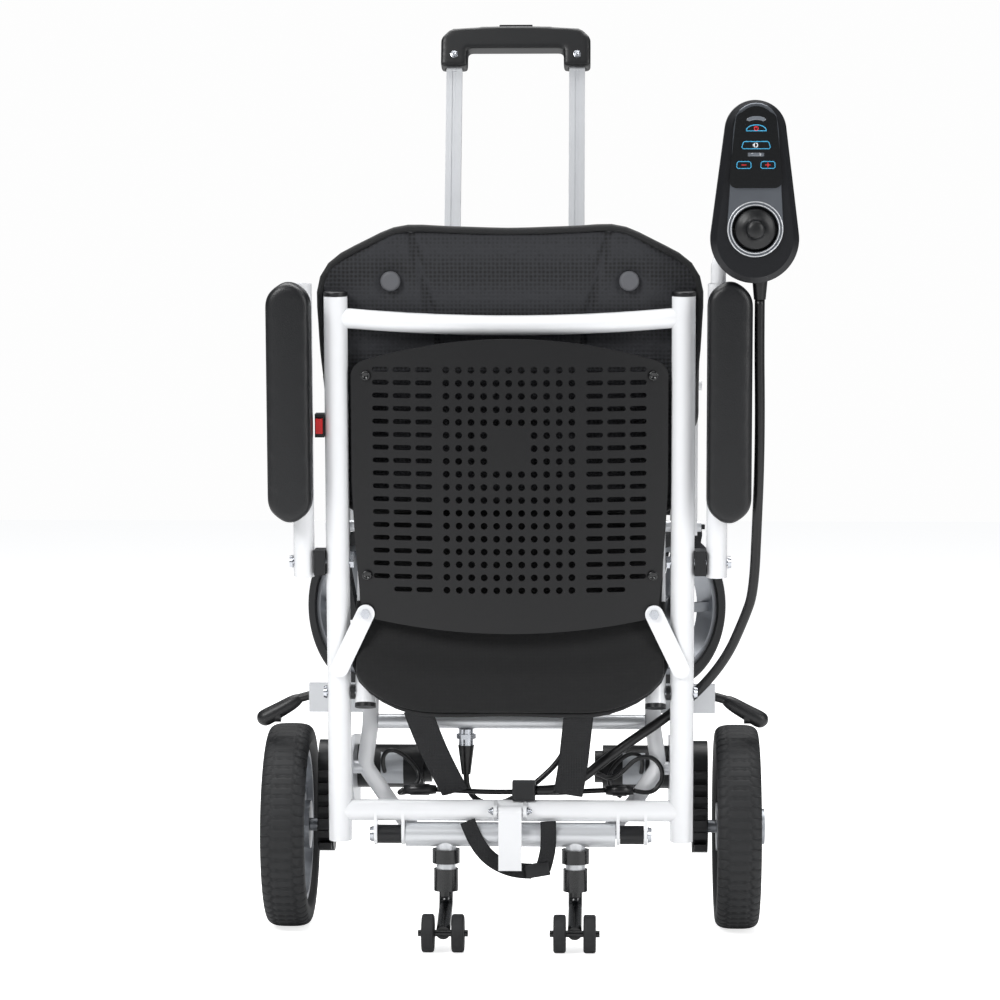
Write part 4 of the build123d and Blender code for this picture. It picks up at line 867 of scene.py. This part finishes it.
def ribbon_mesh(points, wide, thick, across):
    """A flat strap along points; across is the direction of its width."""
    across = Vector(across).normalized()
    verts = []
    for i, point in enumerate(points):
        ahead = (points[min(i + 1, len(points) - 1)] - points[max(i - 1, 0)]).normalized()
        side = (across - ahead * across.dot(ahead)).normalized()
        out = ahead.cross(side)
        for face in (1, -1):
            for k in range(RIBBON_STEPS + 1):
                share = (k / RIBBON_STEPS - 0.5) * face
                verts.append(point + side * wide * share + out * face * thick / 2 * (1 - (2 * share) ** 8))
    count = 2 * (RIBBON_STEPS + 1)
    faces = ring_faces(len(points), count)
    faces.append(tuple(reversed(range(count))))
    last = (len(points) - 1) * count
    faces.append(tuple(range(last, last + count)))
    return mesh_of("ribbon", verts, faces)


class WHEELCHAIR_OT_straps(bpy.types.Operator):
    """Hang the webbing straps below the seat, and the buckled strap under the cross tube"""
    bl_idname = "wheelchair.straps"
    bl_label = "Webbing straps"

    def execute(self, context):
        for name, x0, x1, wide, depths in SEAT_STRAPS:
            spots = [(x0, 290), (x0 * 0.7 + x1 * 0.3, 252), (x0 * 0.35 + x1 * 0.65 + 1, 214), (x1, 182)]
            path = smooth_path([Vector((x, y, z)) * MM for (x, z), y in zip(spots, depths)])
            mesh = ribbon_mesh(path, wide * MM, 2.0 * MM, (1, 0, 0))
            for vertex in mesh.vertices:
                vertex.co.y += RIB_HEIGHT * sin(vertex.co.z / MM * 2 * pi / RIB_PITCH)
            strap = piece(f"strap_{name}", mesh, "webbing", "seat")
            if name == "left":
                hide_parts("webbing_straps")
        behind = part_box("base_cross_tubes")[0][1] - 3 * MM
        for name, route, across in TAIL_STRAPS:
            path = smooth_path([Vector((x * MM, behind, z * MM)) for x, z in route])
            piece(name, ribbon_mesh(path, 19 * MM, 1.8 * MM, across), "webbing", "back_frame")
        buckle = rounded_block(Vector((0.033, behind, 0.0905)), (30 * MM, 17 * MM, 7 * MM),
                               Vector((0.98, 0, 0.17)), Vector((-0.17, 0, 0.98)))
        piece("tail_buckle", buckle, "black_nylon", "back_frame")
        return {"FINISHED"}


# ---- joystick ------------------------------------------------------------------------------------
STICK_X = 290.0
STICK_UP = 740.0
FACE_TOP = 50.0
KEY_TOP = 53.85
KEY_PITCH = 14.0
FACE_LOW = 33.0
FACE_HIGH = 26.0
FACE_HIGH_UP = 861.0
FACE_BACK = 47.05
BOOT_HOLE = 27.0
CAP_RADIUS = 22.6
CAP_UP = 860.5
RING_RADII = (28.4, 32.0)
LINE_RADIUS = 0.55 * MM
SIGN_RADIUS = 0.6 * MM
# the boot's profile: how far behind the back tubes and how far from the stick, in mm
BOOT = ((50.4, 4), (48.6, 20), (48.6, 23.4), (49.4, 24.0), (50.8, 23.8), (52.4, 22.6), (53.6, 20),
        (55, 16.8), (57.2, 13.6), (60, 11.4), (62.6, 10.7), (65, 10.4), (66.8, 9.2), (68, 6.5),
        (68.6, 3), (68.7, 0.5))


def on_face(points, rear):
    """Points of the joystick's face given in mm from its middle line and up the back."""
    return [on_back(STICK_X + x, up, rear) for x, up in points]


def loop_mesh(points, radius):
    """A thin raised line along a closed outline."""
    return tube_mesh(points + points[:2], radius, 8)


def arc(x, up, half, tall, steps, start=0.0, end=1.0):
    """Points round part of an oval, between two shares of its half turn from the right to the left."""
    turns = [pi * (start + (end - start) * k / steps) for k in range(steps + 1)]
    return [(x + half * cos(turn), up + tall * sin(turn)) for turn in turns]


def rounded_quad(x, up, low_half, high_half, tall):
    """Outline of a key that may narrow towards its top."""
    corner = 1.6
    low, high = up - tall / 2, up + tall / 2
    return [(x - low_half + corner, low), (x + low_half - corner, low), (x + low_half, low + corner),
            (x + high_half, high - corner), (x + high_half - corner, high), (x - high_half + corner, high),
            (x - high_half, high - corner), (x - low_half, low + corner)]


def face_reach(turn):
    """How far the silver face reaches from the stick in one direction: it is a round that tapers upwards."""
    low, high = FACE_LOW, 200.0
    for _ in range(16):
        reach = (low + high) / 2
        x, up = reach * sin(turn), STICK_UP + reach * cos(turn)
        inside = False
        for k in range(41):
            share = k / 40
            centre = STICK_UP + (FACE_HIGH_UP - STICK_UP) * share
            radius = FACE_LOW + (FACE_HIGH - FACE_LOW) * share
            inside = inside or x ** 2 + (up - centre) ** 2 < radius ** 2
        low, high = (reach, high) if inside else (low, reach)
    return low


def face_mesh(steps=144):
    """The silver face: a plate with a soft edge and a round hole for the boot."""
    rings = []
    # each ring's place behind the back tubes, and its trim from the outline, or None at the hole
    for rear, trim in ((FACE_BACK, 0.0), (49.2, 0.0), (FACE_TOP, 0.8), (FACE_TOP, None), (FACE_BACK, None)):
        for k in range(steps):
            turn = 2 * pi * k / steps
            reach = BOOT_HOLE if trim is None else face_reach(turn) - trim
            rings.append(on_back(STICK_X + reach * sin(turn), STICK_UP + reach * cos(turn), rear))
    return mesh_of("face", rings, ring_faces(5, steps, True))


class WHEELCHAIR_OT_joystick(bpy.types.Operator):
    """Print the keypad, fit its lenses and pull the rubber boot over the stick"""
    bl_idname = "wheelchair.joystick"
    bl_label = "Joystick"

    def execute(self, context):
        shape = lathe([(along * MM, r * MM) for along, r in BOOT], on_back(STICK_X, STICK_UP, 0), BACK_REAR)
        boot = piece("stick_boot", shape, "grip_plastic", "joystick_stick")
        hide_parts("joystick_stick")
        face = piece("joystick_face_plate", face_mesh(), "joystick_silver", "arm_right")
        edge_split(face)
        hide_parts("joystick_face")
        cap = arc(0, CAP_UP, CAP_RADIUS, CAP_RADIUS, 20, 1 / 12, 11 / 12)
        verts = on_face(cap, 50.05) + on_face(cap, 53.0)
        count = len(cap)
        faces = [tuple(range(count)), tuple(reversed(range(count, 2 * count)))]
        faces += [(k, (k + 1) % count, count + (k + 1) % count, count + k) for k in range(count)]
        piece("keypad_arch", mesh_of("cap", verts, faces), "keypad_gloss", "arm_right", False)
        for radius in RING_RADII:
            ring = arc(0, STICK_UP, radius, radius, 72, 0, 2)[:-1]
            piece(f"stick_ring_{radius:.0f}", loop_mesh(on_face(ring, FACE_TOP + 0.2), 0.7 * MM), "alloy",
                  "arm_right")
        outlines = {"power_key": arc(0, 854.6, 11.8, 6.9, 14),
                    "horn_key": rounded_quad(0, 838, 16.6, 15.2, 8.4),
                    "minus_key": rounded_quad(-KEY_PITCH, 815, 8.4, 8.0, 8.0),
                    "plus_key": rounded_quad(KEY_PITCH, 815, 8.4, 8.0, 8.0)}
        for key, outline in outlines.items():
            piece(f"{key}_outline", loop_mesh(on_face(outline, KEY_TOP), LINE_RADIUS), "print_blue", key)
        signs = {"minus_key": [[(-KEY_PITCH - 3, 815), (-KEY_PITCH + 3, 815)]],
                 "plus_key": [[(KEY_PITCH - 3, 815), (KEY_PITCH + 3, 815)],
                              [(KEY_PITCH, 812), (KEY_PITCH, 818)]],
                 "power_key": [arc(0, 857.4, 2.3, 2.3, 16, 0.62, 2.38), [(0, 857.6), (0, 860.4)]],
                 "horn_key": [[(-3.2, 836.6), (-3.2, 839.4)], [(-2.0, 835.4), (-2.0, 840.6)],
                              arc(-0.6, 838, 2.4, 2.4, 8, -0.5, 0.5)]}
        for key, lines in signs.items():
            strokes = [tube_mesh(on_face(line, KEY_TOP + 0.05), SIGN_RADIUS, 8) for line in lines]
            piece(f"{key}_sign", join_meshes(strokes, "sign"),
                  "print_white" if key == "horn_key" else "print_red", key)
        for name, line, wide in (("lamp_arc", arc(0, 866.2, 9.5, 3.2, 12)[::-1], 4.4),
                                 ("lamp_bar", [(-9.5, 827), (0, 827), (9.5, 827)], 4.2)):
            piece(name, ribbon_mesh(on_face(line, FACE_TOP + 3.2), wide * MM, 0.8 * MM, BACK_UP),
                  "lens_grey", "arm_right")
        return {"FINISHED"}


# ---- hardware ------------------------------------------------------------------------------------
SCREW_HALF = 172.0
SHELL_SCREWS = (564.0, 322.6)
SCREW_PROFILE = ((-2.4, 1), (-2.4, 6.1), (0.1, 6.0), (1.0, 5.0), (1.3, 3.2), (0.2, 2.8), (0.2, 0.2))
GRIP_SCREW_X = 78
GRIP_SCREW_UP = 818.0
GRIP_REAR = -2.0
LABEL_TURN = radians(46)
LABEL_THICK = 0.2
# a brake grip's rings: x and z of the middle and the radius, in mm
BRAKE_DEPTH = -50
BRAKE_GRIP = ((258, 294.2, 0.8), (262, 292, 7.0), (272, 286, 9.2), (284, 279, 9.6), (295, 273, 10.2),
              (306, 267, 11.0), (312, 264, 9.0), (315, 262.3, 1.5))
# the cable harness: name, route and radius in mm
HARNESS = (
    ("left_motor", ((-160, -16, 196), (-164, -30, 216), (-150, -38, 229), (-128, -38, 216),
                    (-112, -44, 194), (-124, -66, 178), (-142, -84, 178), (-132, -83.5, 183.5)), 2.8),
    ("trunk", ((-92, -83.5, 183.5), (-60, -84, 182), (-25, -83, 180.5), (12, -83.5, 181),
               (50, -83, 179.5), (86, -83, 182), (116, -83.5, 183.5)), 3.2),
    ("right_loop", ((86, -82, 181), (74, -82, 196), (86, -82, 206), (106, -81, 204), (122, -80, 196),
                    (136, -80, 205), (152, -80, 222), (172, -80, 226), (186, -80, 210),
                    (184, -80, 190), (168, -82, 178), (150, -83.5, 183.5)), 2.8),
    ("right_motor", ((160, -16, 196), (164, -30, 214), (150, -40, 226), (130, -42, 214),
                     (118, -50, 196), (124, -70, 180), (134, -82, 176)), 2.8),
)
HARNESS_PLUGS = (("left", -132, -92), ("right", 116, 150))


def label_mesh(x0, x1, y, z, radius):
    """A label wrapped round the rear of a motor that lies along X."""
    verts = []
    for k in range(13):
        turn = pi + LABEL_TURN * (k / 6 - 1)
        for x in (x0, x1):
            for r in (radius, radius + LABEL_THICK):
                verts.append(Vector((x, y + r * cos(turn), z + r * sin(turn))) * MM)
    faces = []
    for k in range(12):
        a, b = 4 * k, 4 * k + 4
        faces += [(a, b, b + 2, a + 2), (a + 1, a + 3, b + 3, b + 1), (a, a + 1, b + 1, b),
                  (a + 2, b + 2, b + 3, a + 3)]
    faces += [(0, 2, 3, 1), (48, 49, 51, 50)]
    return mesh_of("label", verts, faces)


class WHEELCHAIR_OT_grip(bpy.types.Operator):
    """Round the moulded grip of the trolley handle and drive its two screws"""
    bl_idname = "wheelchair.grip"
    bl_label = "Trolley grip"

    def execute(self, context):
        obj = soft_copy("trolley_grip", 2.5 * MM, 6)
        mesh = obj.data
        bpy.data.objects.remove(obj)
        grip = piece("grip_shell", mesh, "grip_plastic", "trolley")
        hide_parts("trolley_grip")
        for name, side in SIDES.items():
            screw = bolt_mesh(on_seat(side * GRIP_SCREW_X, GRIP_SCREW_UP, GRIP_REAR), LINK_REAR, 3.2 * MM)
            piece(f"grip_screw_{name}", screw, "zinc_steel", "trolley")
        return {"FINISHED"}


class WHEELCHAIR_OT_hardware(bpy.types.Operator):
    """Fit screws, nuts, motor labels, brake grips and the cable harness"""
    bl_idname = "wheelchair.hardware"
    bl_label = "Hardware"

    def execute(self, context):
        for name, side in SIDES.items():
            verts = []
            ahead = Vector((side * 0.87, 0, -0.49))
            across = Vector((0, 1, 0))
            other = ahead.cross(across)
            for x, z, radius in BRAKE_GRIP:
                for k in range(24):
                    turn = 2 * pi * k / 24
                    spot = Vector((side * x, BRAKE_DEPTH, z))
                    spot += (across * cos(turn) + other * sin(turn)) * radius
                    verts.append(spot * MM)
            faces = ring_faces(8, 24) + [tuple(reversed(range(24))), tuple(range(7 * 24, 8 * 24))]
            grip = piece(f"brake_grip_{name}", mesh_of("grip", verts, faces), "grip_plastic",
                         f"brake_{name}")
            subsurf = grip.modifiers.new("Fine", "SUBSURF")
            subsurf.levels = 1
            baked(grip)
            piece(f"motor_label_{name}", label_mesh(side * 137, side * 165, 10, 200, 27.15),
                  "label_silver", "base", False)
        screws = [v.co - BASE_PIVOT for v in frame["nodes"]["frame_fasteners"].data.vertices]
        for side in SIDES.values():
            for up in SHELL_SCREWS:
                near = [v.dot(BACK_REAR) / MM for v in screws
                        if abs(v.x / MM - side * SCREW_HALF) < 7 and abs(v.dot(BACK_UP) / MM - up) < 9]
                cap = lathe([(a * MM, r * MM) for a, r in SCREW_PROFILE],
                            on_back(side * SCREW_HALF, up, max(near)), BACK_REAR, 32)
                piece(f"shell_screw_{side}_{up:.0f}", cap, "black_paint", "back_frame")
            nut = nut_mesh(on_back(side * 18.2, 34, 21), RIGHT * side, 4.2 * MM)
            piece(f"latch_nut_{side}", nut, "zinc_steel", "back_frame")
        for name, route, radius in HARNESS:
            path = smooth_path([Vector(spot) * MM for spot in route])
            piece(f"harness_{name}", tube_mesh(path, radius * MM, 14), "black_rubber", "base")
        for name, x0, x1 in HARNESS_PLUGS:
            profile = [(x0, 3), (x0, 5.5), (x0 + 8, 6.5), (x0 + 9, 7.2), (x1 - 9, 7.2), (x1 - 8, 6.2),
                       (x1, 5.2), (x1, 3)]
            plug = lathe([(a * MM, r * MM) for a, r in profile], (0, -0.0835, 0.1835), (1, 0, 0), 24)
            piece(f"harness_plug_{name}", plug, "black_rubber", "base")
        return {"FINISHED"}


# ---- CAD finishes --------------------------------------------------------------------------------
OTHER_FINISH = {"tuft_buttons": "tuft_grey", "drive_rim_left": "cast_alloy", "drive_rim_right": "cast_alloy",
                "caster_rim_left": "cast_alloy", "caster_rim_right": "cast_alloy"}


class WHEELCHAIR_OT_finishes(bpy.types.Operator):
    """Give every carried-over node its finish"""
    bl_idname = "wheelchair.finishes"
    bl_label = "Node finishes"

    def execute(self, context):
        slots = {part["node"]: part["material_slot"] for part in frame["record"]["subparts"]}
        for node, obj in frame["nodes"].items():
            finish = FINISHES[OTHER_FINISH.get(node, slots[node])]
            if not obj.material_slots:
                obj.data.materials.append(finish)
            for place in obj.material_slots:
                place.material = finish
        return {"FINISHED"}


class WHEELCHAIR_PT_tools(bpy.types.Panel):
    """The chair's settings, and the steps that make its pieces"""
    bl_idname = "WHEELCHAIR_PT_tools"
    bl_label = "Wheelchair"
    bl_space_type = "VIEW_3D"
    bl_region_type = "UI"
    bl_category = "Wheelchair"

    def draw(self, context):
        for name, kind in GROUPS.items():
            box = self.layout.box()
            for field in kind.__annotations__:
                box.prop(getattr(context.scene, name), field)
        for step in STEPS:
            self.layout.operator(step.bl_idname)


GROUPS = {"wheelchair_finish": FinishSettings, "wheelchair_soft": SoftSettings,
          "wheelchair_tyre": TyreSettings, "wheelchair_cable": CableSettings}
STEPS = (WHEELCHAIR_OT_stage, WHEELCHAIR_OT_cable, WHEELCHAIR_OT_finishes, WHEELCHAIR_OT_back_cushion,
         WHEELCHAIR_OT_seat_cushion, WHEELCHAIR_OT_arm_pads, WHEELCHAIR_OT_drive_tyres,
         WHEELCHAIR_OT_straps, WHEELCHAIR_OT_joystick, WHEELCHAIR_OT_grip, WHEELCHAIR_OT_hardware)
CLASSES = (*GROUPS.values(), *STEPS, WHEELCHAIR_PT_tools)


def register():
    """Register the classes and put the settings on the scene."""
    for kind in CLASSES:
        bpy.utils.register_class(kind)
    for name, kind in GROUPS.items():
        setattr(bpy.types.Scene, name, bpy.props.PointerProperty(type=kind))


def unregister():
    """Take the settings off the scene and the classes out again."""
    for name in GROUPS:
        delattr(bpy.types.Scene, name)
    for kind in reversed(CLASSES):
        bpy.utils.unregister_class(kind)


def main():
    """Make every piece in order."""
    register()
    for step in STEPS:
        getattr(bpy.ops.wheelchair, step.bl_idname.split(".")[1])()


if __name__ == "__main__":
    main()
